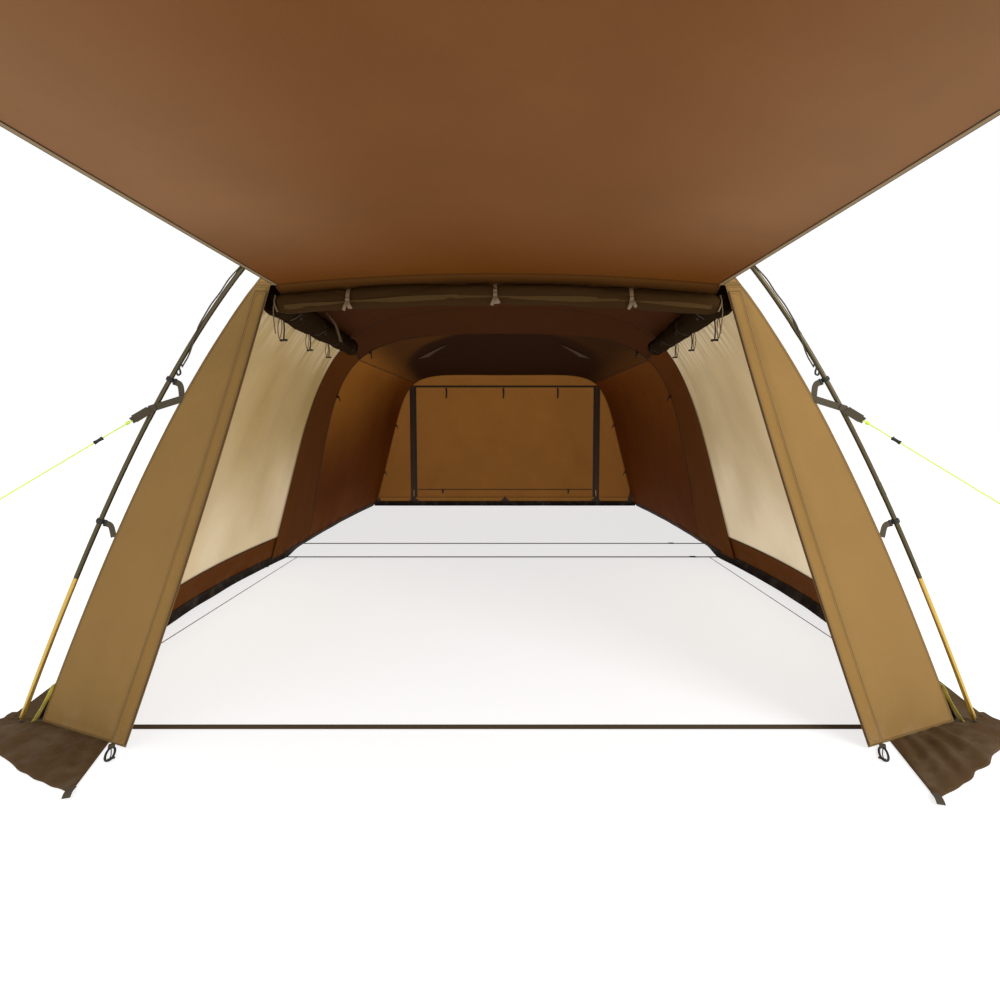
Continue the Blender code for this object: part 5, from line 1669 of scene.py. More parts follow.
@dataclass
class Rear:
    """Rear wall: side strips, gable, door and hem, with their tapes, tabs and foot patches."""

    step: float = 0.030

    def depth(self, height: float) -> float:
        """Depth of the wall's middle at a height."""
        return REAR.plane(height) + FACE

    def light(self, spot: Vector) -> float:
        """Light through the wall, dimmer near the ground and to the right."""
        cloud = 0.06 * noise.noise(spot * 2.0)
        dim = 1.0 - 0.07 * ease(spot.x, 0.0, 1.2)
        return min(1.0, mix(0.60, 1.0, ease(spot.z, 0.1, 1.4)) * dim + cloud)

    def walls(self) -> None:
        """The two side strips, the gable and the door."""
        on = ["rear_arch"]
        for side in Side:
            sign = side.value

            def strip(u: float, v: float, sign: float = sign) -> Vector:
                height = mix(WALL_FOOT + SEAM / 2.0, REAR_DOOR_TOP - SEAM / 2.0, v)
                across = mix(REAR_DOOR_HALF + SEAM / 2.0, REAR.outline(REAR.at_height(height))[0], u)
                return Vector((sign * across, self.depth(height), height))

            def fall(x: float, y: float) -> float:
                return 0.005 * rumple(x, y, 0.2, 4.0, 2.0)

            node = f"rear_side_{side.label}"
            panel = Panel(f"{node}_cloth", strip, fall, self.step, light=self.light)
            panel.hang("brown_cloth", "backlit_rear", node, on)
        start = REAR.at_height(REAR_DOOR_TOP + 0.020)
        low, top = REAR_DOOR_TOP + HINGE_GAP / 2.0 + 0.001, REAR_DOOR_TOP - HINGE_GAP / 2.0 - 0.0015
        half = REAR_DOOR_HALF - SEAM / 2.0

        def gable(u: float, v: float) -> Vector:
            side = 2.0 * u - 1.0
            x, z = REAR.outline(1.0 - abs(side) * (1.0 - start))
            height = mix(low, z, v)
            return Vector((math.copysign(x, side), self.depth(height), height))

        panel = Panel("rear_gable_cloth", gable, None, self.step, hem=0.008, light=self.light)
        panel.hang("brown_cloth", "backlit_rear", "rear_gable", on)

        def door(u: float, v: float) -> Vector:
            side, height = 2.0 * u - 1.0, mix(WALL_FOOT + SEAM / 2.0, top, v)
            billow = 0.012 * math.cos(math.pi * side / 2.0) * math.sin(math.pi * v)
            return Vector((half * side, self.depth(height) + billow, height))

        def fold(x: float, y: float) -> float:
            return 0.007 * rumple(x, y, 0.35, 6.0, 2.0) + 0.004 * tension(x, y, 0.2, 6.0, 0.2)

        panel = Panel("rear_door_cloth", door, fold, self.step, light=self.light)
        panel.hang("tan_cloth", "backlit_rear", "rear_door", on, "rear_door")

        def hem(u: float, v: float) -> Vector:
            height = mix(0.050, WALL_FOOT + 0.008, v)
            return Vector((mix(-1.634, 1.634, u), self.depth(height) - 2.0 * CLOTH - 0.0012, height))

        panel = Panel("rear_hem_cloth", hem, None, self.step, hem=0.006, light=self.light)
        panel.hang("brown_cloth", "backlit_rear", "", on)

    def tape(
        self, name: str, path: Sequence[Vector], width: float, body: str, finish: str = "black_tape"
    ) -> None:
        """Flat tape on the wall's room side."""
        strand(name, path, band(width, 0.0014), "dark_webbing", finish, (), body, AHEAD)

    def bands(self) -> None:
        """Dark tapes on both sides of the door's zips, over its hinge and along its seams."""
        off = CLOTH + 0.0022

        def spot(across: float, height: float, out: float = 0.0) -> Vector:
            return Vector((across, self.depth(height) - off - out, height))

        for side in Side:
            sign = side.value
            for name, inset, out, low, stop, width, body, finish in (
                ("zip_tape_wall", 0.029, 0.0030, 0.054, 0.003, 0.028, "tent", "black_tape"),
                ("zip_tape_door", -0.021, 0.0, 0.112, 0.003, 0.036, "rear_door", "black_tape"),
                ("zip_cover", 0.004, 0.0050, 0.20, 0.008, 0.040, "tent", "brown_tape"),
            ):
                heights = spread(low, REAR_DOOR_TOP - stop, 30)
                path = [spot(sign * (REAR_DOOR_HALF + inset), h, out) for h in heights]
                self.tape(f"{name}_{side.label}", path, width, body, finish)
        bm = bmesh.new()
        patches = (
            (-1.154, 0.080, 0.080),
            (0.0, 0.070, 0.070),
            (1.154, 0.080, 0.080),
            (-1.600, 0.034, 0.070),
            (1.588, 0.036, 0.180),
        )
        for across, wide, tall in patches:
            rows = []
            for share in spread(0.0, 1.0, 8):
                middle = spot(across, 0.052 + tall * share, 0.0058)
                half = wide * max(0.05, (1.0 - share) ** 1.5)
                ring = [(-half, 0.0), (half, 0.0), (half, -0.0012), (-half, -0.0012), (-half, 0.0)]
                rows.append([middle + Vector((a, b, 0.0)) for a, b in ring])
            lay_grid(bm, rows)
        seat(new_object("foot_patches", bm), "black_cloth", "black_tape")
        half = REAR_DOOR_HALF
        path = [spot(x, REAR_DOOR_TOP + 0.008, 0.0012) for x in spread(-half - 0.040, half + 0.040, 40)]
        self.tape("hinge_tape", path, 0.022, "tent")
        path = [spot(x, 0.205) for x in spread(-half + 0.045, half - 0.045, 40)]
        self.tape("hem_tape", path, 0.009, "rear_door")
        drops = (
            (-0.735, 1.488, 0.13),
            (-0.02, 1.488, 0.13),
            (0.66, 1.488, 0.13),
            (-0.79, 0.205, 0.05),
            (0.80, 0.205, 0.05),
        )
        for i, (across, top, drop) in enumerate(drops):
            path = [
                spot(across, top, 0.003),
                spot(across + 0.004, top - drop * 0.5, 0.012),
                spot(across, top - drop, 0.006),
            ]
            self.tape(f"rear_tab_{i + 1}", smooth_path(path), 0.020, "rear_door")

    def build(self) -> None:
        """Make the whole rear wall."""
        self.walls()
        self.bands()


@dataclass
class Skirts:
    """Ground skirts along the sides, the rear and in front of the wings."""

    step: float = 0.020
    fold: float = 0.006
    under: Vector = field(default_factory=lambda: Vector((0.0, 2.0, -9.0)))

    def profile(self, v: float, fold: float) -> tuple[float, float]:
        """Run out and height at v, 0 at the wall and 1 at the outer edge."""
        ground, bend = CLOTH / 2.0, 0.4
        if v < bend:
            return mix(0.0080, SKIRT_RUN, v / bend), mix(WALL_FOOT - SEAM, ground, v / bend)
        share = (v - bend) / (1.0 - bend)
        return SKIRT_RUN + SKIRT_FLAT * share, ground + fold * share * (1.0 - 0.6 * share)

    def side(self, side: Side) -> None:
        """Skirt along one side."""

        def point(u: float, v: float) -> Vector:
            depth = mix(SKIRT_START, REAR.depth + SKIRT_END, u)
            bay = bay_at(depth)
            share = bay.share(depth)
            spot = bay.skin(share, bay.at_height(share, WALL_FOOT), side.value)
            calm = max(0.0, math.sin(math.pi * share)) if bay.flare else 0.0
            wave = math.sin(math.pi * depth / 0.165) ** 2
            run, height = self.profile(v, self.fold * wave * calm)
            return Vector((spot.x + side.value * run, depth, height))

        def fold(x: float, y: float) -> float:
            return 0.004 * abs(rumple(x, y, 0.06, side.value)) * ease(y, 0.0, 0.1)

        node = f"side_skirt_{side.label}"
        panel = Panel(f"{node}_cloth", point, fold, self.step, hem=0.008, calm=0.03, inside=self.under)
        panel.hang("black_cloth", "black_skirts", node, [f"bedroom_wall_{side.label}"])

    def inner(self, side: Side) -> None:
        """Black strip that closes the gap under one side's wall."""

        def point(u: float, v: float) -> Vector:
            depth = mix(0.03, REAR.depth - 0.008, u)
            bay = bay_at(depth)
            share = bay.share(depth)
            top = bay.skin(share, bay.at_height(share, 0.056), side.value)
            top.x -= side.value * 0.0030
            low = bay.skin(share, bay.at_height(share, WALL_FOOT), side.value)
            wave = 0.008 * noise.noise(Vector((depth * 3.0, side.value, 0.0)))
            front = 0.010 if side is Side.LEFT else -0.008
            low.x += side.value * (mix(front, 0.050, ease(depth, 2.45, 3.0)) + wave)
            low.z = CLOTH
            return top.lerp(low, v)

        def fold(x: float, y: float) -> float:
            return 0.003 * rumple(x, y, 0.08, side.value)

        panel = Panel(f"inner_skirt_{side.label}", point, fold, self.step, hem=0.006, calm=0.02)
        panel.hang("black_cloth", "black_skirts", "", [f"side_band_{side.label}"])

    def inner_rear(self) -> None:
        """Black strip that closes the gap under the rear wall."""

        def point(u: float, v: float) -> Vector:
            across = mix(-1.652, 1.652, u)
            wave = 0.006 * noise.noise(Vector((across * 3.0, 1.0, 0.0)))
            return Vector((across, REAR.plane(0.05) - mix(0.0075, 0.024 + wave, v), mix(0.058, CLOTH, v)))

        panel = Panel("inner_skirt_rear", point, None, self.step, hem=0.006, calm=0.02)
        panel.hang("black_cloth", "black_skirts", "", ["rear_arch"])

    def gusset(self, side: Side) -> None:
        """Thin cloth that lies under the pole's foot, between the corner and the side skirt."""
        sign = side.value

        def point(u: float, v: float) -> Vector:
            ragged = 0.012 * noise.noise(Vector((v * 6.0, sign, 0.0)))
            ragged += 0.008 * noise.noise(Vector((v * 21.0, sign, 5.0)))
            across = mix(FRONT.foot - 0.07 + 0.02 * v, FRONT.foot + 0.188 - 0.022 * v + ragged, u)
            return Vector((sign * across, mix(-0.075, 0.075, v) - 0.02 * (1.0 - u) * (1.0 - v), -0.0010))

        panel = Panel(f"foot_gusset_{side.label}", point, step=self.step, hem=0.006, inside=self.under)
        panel.proud, panel.thick = 0.0, 0.0010
        panel.hang("black_cloth", "black_skirts", "", [f"corner_skirt_{side.label}"])

    def loops(self, side: Side) -> None:
        """Webbing tab at the corner's tip and peg loops along the skirt's edge."""
        sign, (x, y) = side.value, self.tip(side)
        offsets = ((0.012, 0.024, 0.004), (0.0, -0.008, 0.010), (-0.006, -0.026, 0.004))
        path = smooth_path([(sign * (x + a), y + b, c) for a, b, c in offsets])
        strand(f"corner_tab_{side.label}", path, band(0.022, 0.0018), "dark_webbing", "dark_webbing")
        bm = bmesh.new()
        for depth in (0.44, 0.56):
            share = LIVING.share(depth)
            root = LIVING.skin(share, LIVING.at_height(share, WALL_FOOT), sign)
            reach = root.x + sign * (SKIRT_RUN + SKIRT_FLAT)
            path = [(reach - sign * 0.01, depth, 0.003), (reach + sign * 0.022, depth - 0.006, 0.010)]
            path += [(reach + sign * 0.034, depth, 0.012), (reach + sign * 0.020, depth + 0.010, 0.005)]
            sweep(bm, smooth_path(path), band(0.012, 0.0016))
        seat(new_object(f"peg_loops_{side.label}", bm), "black_plastic", "black_tape")

    def tip(self, side: Side) -> tuple[float, float]:
        """Where the corner skirt's front tip lies; the right one is pulled further out."""
        return (1.252, -0.430) if side is Side.RIGHT else (1.226, -0.402)

    def corner(self, side: Side) -> None:
        """Folded cloth in front of a wing."""
        sign, ground = side.value, CLOTH / 2.0
        reach = (self.tip(side), (FRONT.foot - 0.080, -0.280), (FRONT.foot + 0.170, -0.035))
        near, middle, far = (Vector((sign * x, y, 0.0)) for x, y in reach)
        out = 0.030 if side is Side.RIGHT else 0.010
        starts = ((WING_FOOT_HALF + 0.070 + out, 0.010), (FRONT.foot - 0.012, 0.012))
        inner = [Vector((sign * x, wing_line(x) + behind, 0.0)) for x, behind in starts]

        def point(u: float, v: float) -> Vector:
            end = near.lerp(middle, u).lerp(middle.lerp(far, u), u)
            ragged = noise.noise(Vector((u * 9.0, sign, 2.0))) * min(1.0, 12.0 * u, 8.0 - 8.0 * u)
            end += (end - inner[0]).normalized() * (0.010 * ragged)
            spot = inner[0].lerp(inner[1], u).lerp(end, v)
            calm = max(0.0, math.sin(math.pi * v)) ** 0.8 * max(0.0, math.sin(math.pi * u)) ** 0.5
            wave = math.sin(math.pi * 5.4 * u + 2.2 * v) ** 2
            crush = 0.006 * abs(noise.noise(Vector((u * 11.0, v * 5.0, sign))))
            spot.z = ground + (0.016 * wave + crush) * calm
            return spot

        def fold(x: float, y: float) -> float:
            return 0.005 * abs(rumple(x, y, 0.07, 7.0 + sign))

        node = f"corner_skirt_{side.label}"
        panel = Panel(f"{node}_cloth", point, fold, 0.012, hem=0.010, calm=0.03, inside=self.under)
        panel.hang("black_cloth", "black_skirts", node, [f"front_wing_{side.label}"])

    def rear(self) -> None:
        """Skirt behind the rear wall."""
        reach, back = REAR.foot - 0.045, REAR.plane(WALL_FOOT) + FACE

        def point(u: float, v: float) -> Vector:
            across = 2.0 * u - 1.0
            waves = math.sin(math.pi * 20 * across / 2.0) ** 2 * math.cos(math.pi * across / 2.0)
            run, height = self.profile(v, self.fold * waves)
            wide, out = reach - 0.02 * (1.0 - v), run * (REAR_REACH - back) / (SKIRT_RUN + SKIRT_FLAT)
            return Vector((wide * across, back + out, height))

        def fold(x: float, y: float) -> float:
            return 0.004 * abs(rumple(x, y, 0.06, 9.0)) * ease(y, 0.0, 0.1)

        panel = Panel("rear_skirt_cloth", point, fold, self.step, hem=0.008, calm=0.03, inside=self.under)
        panel.hang("black_cloth", "black_skirts", "rear_skirt", ["rear_arch"])

    def build(self) -> None:
        """Make all skirts."""
        self.rear()
        self.inner_rear()
        for side in Side:
            self.side(side)
            self.inner(side)
            self.corner(side)
            self.gusset(side)
            self.loops(side)


@dataclass
class Roll:
    """Cloth rolled up round a line, drawn in under its ties.

    Attributes:
        name: the CAD node that it stands for.
        point: centre of the roll at a place along it.
        ends: places where it begins and ends.
        ties: places of its ties.
        radius: its free radius.
        up: a direction square to the roll.
        squeeze: share of the radius left under a tie.
        width: width of a tie.
        sides: number of faces round the roll.
        swell: how much fuller the roll is between its ties.
        press: moves a place of the roll back inside the cloth that it lies against.
    """

    name: str
    point: Callable[[float], Vector]
    ends: tuple[float, float]
    ties: Sequence[float]
    radius: float
    up: Vector
    squeeze: float = 0.90
    width: float = 0.018
    sides: int = 40
    swell: float = 0.0
    press: Callable[[Vector], Vector] | None = None

    def shape(self, place: float, angle: float) -> float:
        """Radius at a place along the roll and round it."""
        near = min(abs(place - tie) for tie in self.ties)
        pinch = mix(self.squeeze, 1.0, ease(near, self.width * 0.5, self.width * 1.6))
        end = min(place - self.ends[0], self.ends[1] - place)
        pinch *= mix(0.84, 1.0, ease(end, 0.0, 0.03))
        ring = Vector((math.cos(angle), math.sin(angle), 0.0))
        bulge = noise.noise(Vector((place * 7.0, ring.x * 1.2, ring.y * 1.2))) * 0.10
        bulge += self.swell * ease(near, 0.02, 0.16)
        fine = noise.noise(Vector((place * 30.0, ring.x * 3.5, ring.y * 3.5 + 4.0))) * 0.05
        wind = math.sin(angle * 3.0 + place * 2.2 + 2.0 * noise.noise(Vector((place * 2.0, 0.0, 1.0))))
        gather = max(0.0, math.sin(angle * 11.0 + place * 4.0)) * 0.05 * math.exp(-near / 0.05)
        return self.radius * pinch * (0.985 + bulge + fine + 0.060 * wind - gather)

    def build(self, slot: str, finish: str) -> None:
        """Make the roll with layered ends."""
        low, high = self.ends
        places = spread(low, high, round((high - low) / 0.008))
        path = [self.point(p) for p in places]
        rows = []
        for place, spot, (side, rise) in zip(places, path, frames(path, self.up)):
            row = []
            for a in spread(0.0, TURN, self.sides)[:-1]:
                r = self.shape(place, a)
                bare = spot + side * (r * math.cos(a)) + rise * (r * math.sin(a))
                row.append(self.press(bare) if self.press else bare)
            rows.append(row + row[:1])
        along = (path[-1] - path[0]).normalized()
        layers = [(0.93, 0.003), (0.80, 0.003), (0.74, -0.005), (0.60, 0.002)]
        layers += [(0.54, -0.006), (0.36, 0.0), (0.30, -0.006)]
        for at, sign in ((0, -1.0), (-1, 1.0)):
            rim, centre = rows[at], path[at]
            for share, out in layers:
                ring = [centre + (p - centre) * share + along * (sign * out) for p in rim]
                rows.insert(0, ring) if at == 0 else rows.append(ring)
        bm = bmesh.new()
        lay_grid(bm, rows)
        piece = new_object(f"{self.name}_cloth", bm, 70.0)
        seat(piece, slot, finish, (self.name,))


@dataclass
class Rolls:
    """Rolled mesh door and side doors, with header, ties, toggles and loops.

    Attributes:
        lower: how far the mesh roll hangs below its line.
        fuller: how much fuller a side roll is than its bare cloth.
        inward: how much further in a side roll lies for that.
        tie_width: width of the webbing of a tie.
        tight: share of a roll's radius that its ties run at.
    """

    lower: float = 0.006
    fuller: float = 0.014
    inward: float = 0.017
    tie_width: float = 0.014
    tight: float = 0.93

    def mesh_centre(self, across: float) -> Vector:
        """Centre of the mesh roll."""
        return Vector((across, MESH_ROLL_DEPTH, root_line(across) - MESH_ROLL_DROP - self.lower))

    def side_centre(self, depth: float, side: float) -> Vector:
        """Centre of a side roll, seated against the inside of the eave."""
        share = LIVING.share(depth)
        (x0, z0), (x1, z1) = FRONT.outward(EAVE), MIDDLE_FRONT.outward(EAVE)
        normal = Vector((mix(x0, x1, share), mix(z0, z1, share))).normalized()
        out = Vector((side * normal.x, 0.0, normal.y))
        return LIVING.skin(share, EAVE, side) - out * (SIDE_ROLL_SEAT + self.inward)

    def header(self) -> None:
        """Strip that the mesh roll hangs from."""

        def point(u: float, v: float) -> Vector:
            across = (MESH_ROLL_HALF + 0.020) * (2.0 * u - 1.0)
            top = Vector((across, FACE, root_line(across) + 0.012))
            turn = Vector((across, FACE, root_line(across) - 0.004))
            low = Vector((across, MESH_ROLL_DEPTH, root_line(across) - MESH_ROLL_DROP + 0.0302 + FACE))
            return top.lerp(turn, 2.0 * v) if v <= 0.5 else turn.lerp(low, 2.0 * v - 1.0)

        panel = Panel("mesh_header_cloth", point, None, 0.012, hem=0.004)
        panel.hang("olive_cloth", "olive_header", "mesh_header", ["front_gable"])

    def tie(
        self,
        name: str,
        centre: Vector,
        along: Vector,
        radius: float,
        face: Vector,
        tail: float,
        finish: str = "pale_webbing",
    ) -> None:
        """Webbing round a roll with a knot and two hanging ends.

        Args:
            name: the piece's name.
            centre: middle of the roll under the tie.
            along: direction of the roll.
            radius: radius that the webbing runs at.
            face: direction of the knot.
            tail: length of the hanging ends.
            finish: look of the webbing.
        """
        width, along = self.tie_width, along.normalized()
        face = (face - along * face.dot(along)).normalized()
        third = along.cross(face).normalized()
        bm = bmesh.new()
        rows = []
        for turn in spread(0.0, TURN, 36):
            spot = centre + (face * math.cos(turn) + third * math.sin(turn)) * radius
            out = (spot - centre).normalized()
            rows.append([spot + along * a + out * b for a, b in band(width, 0.0016)])
        lay_grid(bm, rows)
        knot = centre + face * (radius + 0.004)
        block(bm, (width * 1.1, width * 1.3, 0.009), facing(along, face, knot), 0.0035)
        for lean, more in ((-0.35, 1.0), (0.4, 0.8)):
            end = knot + Vector((0.0, 0.0, -tail * more)) + along * (lean * tail) + face * 0.003
            middle = knot.lerp(end, 0.5) + face * 0.008
            sweep(bm, smooth_path([knot, middle, end]), band(width * 0.8, 0.0014), face)
        seat(new_object(name, bm), "dark_webbing", finish)

    def toggle(self, name: str, top: Vector, drop: float) -> None:
        """Bar toggle that hangs on a dark cord, with its pale loop beside it."""
        low, half = top - Vector((0.0, 0.0, drop)), 0.015
        bm = bmesh.new()
        hung = smooth_path([top, top.lerp(low, 0.5) + Vector((0.003, 0.0, 0.0)), low])
        sweep(bm, hung, circle(0.0030, 8), BEHIND)
        profile = [(0.0012, -half), (0.0044, -half), (0.0052, -half * 0.6), (0.0036, 0.0)]
        profile += [(0.0052, half * 0.6), (0.0044, half), (0.0012, half)]
        turned(bm, profile, low, Vector((1.0, 0.15, 0.08)), 20)
        seat(new_object(name, bm), "black_plastic", "black_plastic")
        start = top + Vector((0.0, -0.040, 0.0))
        offsets = [(0.0, 0.0, 0.0), (-0.006, -0.004, -drop * 0.5), (0.0, -0.002, -drop)]
        offsets += [(0.009, 0.0, -drop * 0.5), (0.004, 0.004, 0.0)]
        loop = smooth_path([start + Vector(offset) for offset in offsets])
        strand(f"{name}_loop", loop, circle(0.0019, 8), "olive_cord", "pale_webbing", up=BEHIND)

    def corner_cords(self, side: Side) -> None:
        """Pale cord and strap ends that hang where the mesh roll meets the wing."""
        sign, bm = side.value, bmesh.new()
        top = Vector((sign * 0.806, 0.030, 1.530))
        for radius, middle, end in (
            (0.0030, (0.0, -0.012, -0.03), (-0.014, -0.018, -0.062)),
            (0.0022, (0.004, -0.01, -0.06), (-0.002, -0.006, -0.14)),
        ):
            spots = [top, *(top + Vector((sign * a, b, c)) for a, b, c in (middle, end))]
            sweep(bm, smooth_path(spots), circle(radius, 8))
        seat(new_object(f"corner_cord_{side.label}", bm), "olive_cord", "pale_webbing")

    def build(self) -> None:
        """Make all rolls and what holds them."""
        self.header()
        ends = (-MESH_ROLL_HALF - 0.020, MESH_ROLL_HALF + 0.020)
        mesh = Roll("mesh_roll", self.mesh_centre, ends, MESH_TIES, MESH_ROLL_RADIUS, UP)
        mesh.build("olive_cloth", "rolled_mesh")
        # Fold strip along the roll's front-lower side; its paler colour is a painted highlight where the
        # light falls on the roll
        bm, fold, sizes = bmesh.new(), [], []
        for across in spread(*ends, 120)[2:-2]:
            angle = -0.50 + 0.30 * noise.noise(Vector((across * 2.2, 0.0, 7.0)))
            reach = mesh.shape(across, angle) + 0.0002
            near = min(abs(across - tie) for tie in MESH_TIES)
            wide = 0.9 + 0.5 * noise.noise(Vector((across * 5.0, 2.0, 0.0)))
            sizes.append(mix(0.45, 1.0, ease(near, 0.02, 0.20)) * wide)
            fold.append(self.mesh_centre(across) + Vector((0.0, -math.cos(angle), math.sin(angle))) * reach)
        sweep(bm, fold, band(0.020, 0.0018), Vector((0.0, -0.88, -0.48)), sizes)
        seat(new_object("mesh_roll_fold", bm), "olive_cloth", "roll_fold")
        along, face = Vector((1.0, 0.0, 0.0)), Vector((0.0, -1.0, -0.35))
        radius = MESH_ROLL_RADIUS * self.tight
        for i, place in enumerate(MESH_TIES):
            self.tie(f"mesh_tie_{i + 1}", self.mesh_centre(place), along, radius, face, 0.036)
        for side in Side:
            sign = side.value
            self.corner_cords(side)
            if side is Side.LEFT:
                tail = [(-0.955, 1.100, 1.662), (-0.925, 1.096, 1.630)]
                tail = smooth_path([*tail, (-0.899, 1.096, 1.590), (-0.874, 1.100, 1.506)])
                ring = band(0.014, 0.0016)
                strand("side_tail_left", tail, ring, "dark_webbing", "pale_webbing", up=BEHIND)

            def centre(depth: float, sign: float = sign) -> Vector:
                return self.side_centre(depth, sign)

            def press(spot: Vector, sign: float = sign) -> Vector:
                share = LIVING.share(spot.y)
                low, _ = narrow(lambda t: LIVING.skin(share, t, sign).z < spot.z, 0.40, 0.80, 12)
                edge = abs(LIVING.skin(share, low, sign).x) - 0.0065
                return Vector((sign * min(abs(spot.x), edge), spot.y, spot.z))

            radius = SIDE_ROLL_RADIUS + self.fuller
            name, up = f"side_roll_{side.label}", UP
            roll = Roll(name, centre, SIDE_ROLL_ENDS, SIDE_TIES, radius, up, swell=0.10, press=press)
            roll.build("olive_cloth", "rolled_side")
            for i, depth in enumerate(SIDE_TIES):
                along = centre(depth + 0.01) - centre(depth - 0.01)
                face = Vector((-sign, -0.3, -0.6))
                tie = f"side_tie_{side.label}_{i + 1}"
                self.tie(tie, centre(depth), along, radius * self.tight, face, 0.018, "black_tape")
                if i < 3:
                    top = centre(TOGGLES[i]) + Vector((sign * 0.012, 0.0, -radius + 0.004))
                    self.toggle(f"side_toggle_{side.label}_{i + 1}", top, 0.085)


@dataclass
class Arches:
    """Pole arches with their ferrules, the clips that hold the cloth and the elastic cords."""

    sides: int = 18
    ferrule: float = 0.0007

    def sleeve(self, bm: bmesh.types.BMesh, spot: Vector, along: Vector, sides: int) -> None:
        """Ferrule round a pole."""
        bore, rim, half = POLE_RADIUS * 0.8, POLE_RADIUS + self.ferrule, 0.025
        turned(bm, [(bore, -half), (rim, -half), (rim, half), (bore, half)], spot, along, sides)

    def tube(
        self, name: str, path: Sequence[Vector], ends: Sequence[float], slot: str, joints: float = 0.62
    ) -> None:
        """Pole along a path, with a ferrule at even distances.

        Args:
            name: the CAD node.
            path: its centre line.
            ends: radius factors, point by point.
            slot: the finish and material slot.
            joints: distance between two ferrules.
        """
        bm = bmesh.new()
        sweep(bm, path, circle(POLE_RADIUS, self.sides), AHEAD, ends)
        lengths = running(path)
        at = joints
        while at < lengths[-1] - 0.3:
            k = next(i for i, length in enumerate(lengths) if length > at)
            spot, along = path[k], (path[k] - path[k - 1]).normalized()
            self.sleeve(bm, spot, along, self.sides)
            at += joints
        seat(new_object(f"{name}_tube", bm, 40.0), slot, slot, (name,))

    def foot(self, section: Section, side: float, support: float) -> Vector:
        """Lower end of an arch, run straight on until its tip clears a support."""
        first, second = section.pole(0.0, side), section.pole(0.01, side)
        along = (first - second).normalized()
        dip = POLE_RADIUS * 0.55 * math.hypot(along.x, along.y)
        return first + along * ((first.z - support - CLEAR - dip) / -along.z)

    def footed(
        self, section: Section, side: float, ts: Sequence[float], support: float
    ) -> tuple[list[Vector], list[float]]:
        """Centre line from the tip up through the given parameters, with its radius factors."""
        line = [section.pole(t, side) for t in ts]
        foot = self.foot(section, side, support)
        up = (line[0] - foot).normalized()
        shoulder = foot + up * 0.014
        tip = [foot, foot + up * 0.003, shoulder, shoulder + up * 0.001]
        return tip + line, [0.42, 0.55, 0.55] + [1.0] * (len(line) + 1)

    def clip(
        self, bm: bmesh.types.BMesh, tape: bmesh.types.BMesh, pole: Vector, along: Vector, out: Vector
    ) -> None:
        """Collar round the pole and the webbing that curves down from it to the cloth."""
        along, out = along.normalized(), out.normalized()
        third = along.cross(out)
        rim = POLE_RADIUS + 0.0042
        collar = [(POLE_RADIUS, -0.007), (rim, -0.007), (rim + 0.0012, 0.0), (rim, 0.007)]
        turned(bm, [*collar, (POLE_RADIUS, 0.007)], pole, along, 24)
        down = along if along.z < 0.0 else -along
        neck = pole - out * (rim + 0.006)
        block(bm, (0.024, 0.007, 0.008), facing(along, out, neck), 0.0018)
        low = pole - out * (HANG - 0.003) + down * 0.034
        bend = pole - out * (HANG * 0.60) + down * 0.002
        sweep(tape, smooth_path([neck - out * 0.002, bend, low]), band(0.022, 0.0016), third)

    def clips(self, name: str, section: Section, heights: Sequence[float]) -> None:
        """All clips of an arch."""
        bm, tape = bmesh.new(), bmesh.new()
        stops_at = [(section.at_height(h), s) for h in heights for s in (-1.0, 1.0)]
        stops_at += [(t, s) for t in (0.66, 0.82) for s in (-1.0, 1.0)] + [(0.9999, 1.0)]
        for t, side in stops_at:
            pole = section.pole(t, side)
            nx, nz = section.outward(t)
            along = section.pole(min(1.0, t + 0.002), side) - section.pole(t - 0.002, side)
            self.clip(bm, tape, pole, along, Vector((side * nx, 0.0, nz)))
        seat(new_object(f"{name}_clips", bm), "black_plastic", "black_plastic")
        seat(new_object(f"{name}_clip_tapes", tape), "dark_webbing", "dark_webbing")

    def elastic(self, side: Side) -> None:
        """Elastic cord with a hook, from a clip up along the front pole."""
        path = []
        for t in spread(FRONT.at_height(1.240), 0.9995, 90):
            pole = FRONT.pole(t, side.value)
            nx, nz = FRONT.outward(t)
            wander = 0.92 - 0.85 * ease(pole.z, 1.30, 1.50)
            wander = wander + 0.70 * ease(pole.z, 1.52, 1.74) - 0.6 * ease(pole.z, 1.76, 1.95)
            turn = math.pi * wander
            out = Vector((side.value * nx, 0.0, nz)) * math.cos(turn) + AHEAD * abs(math.sin(turn))
            slack = 0.0036 + 0.006 * (1.0 - ease(pole.z, 1.25, 1.42)) + 0.002 * math.sin(pole.z * 37.0) ** 2
            path.append(pole + out.normalized() * (POLE_RADIUS + slack))
        name, ring = f"elastic_cord_{side.label}", circle(0.0026, 8)
        strand(name, path, ring, "olive_cord", "olive_cord", up=AHEAD)
        top = path[0]
        down = (path[0] - path[1]).normalized()
        beside = AHEAD.cross(down).normalized() * side.value
        shape = [(0.0, -0.008), (0.009, -0.003), (0.007, 0.007), (0.0, 0.013)]
        shape += [(-0.007, 0.022), (-0.002, 0.031), (0.007, 0.026)]
        hook = smooth_path([top + beside * a + down * b for a, b in shape])
        name, ring = f"elastic_hook_{side.label}", circle(0.0034, 8)
        strand(name, hook, ring, "black_plastic", "black_plastic", up=AHEAD)

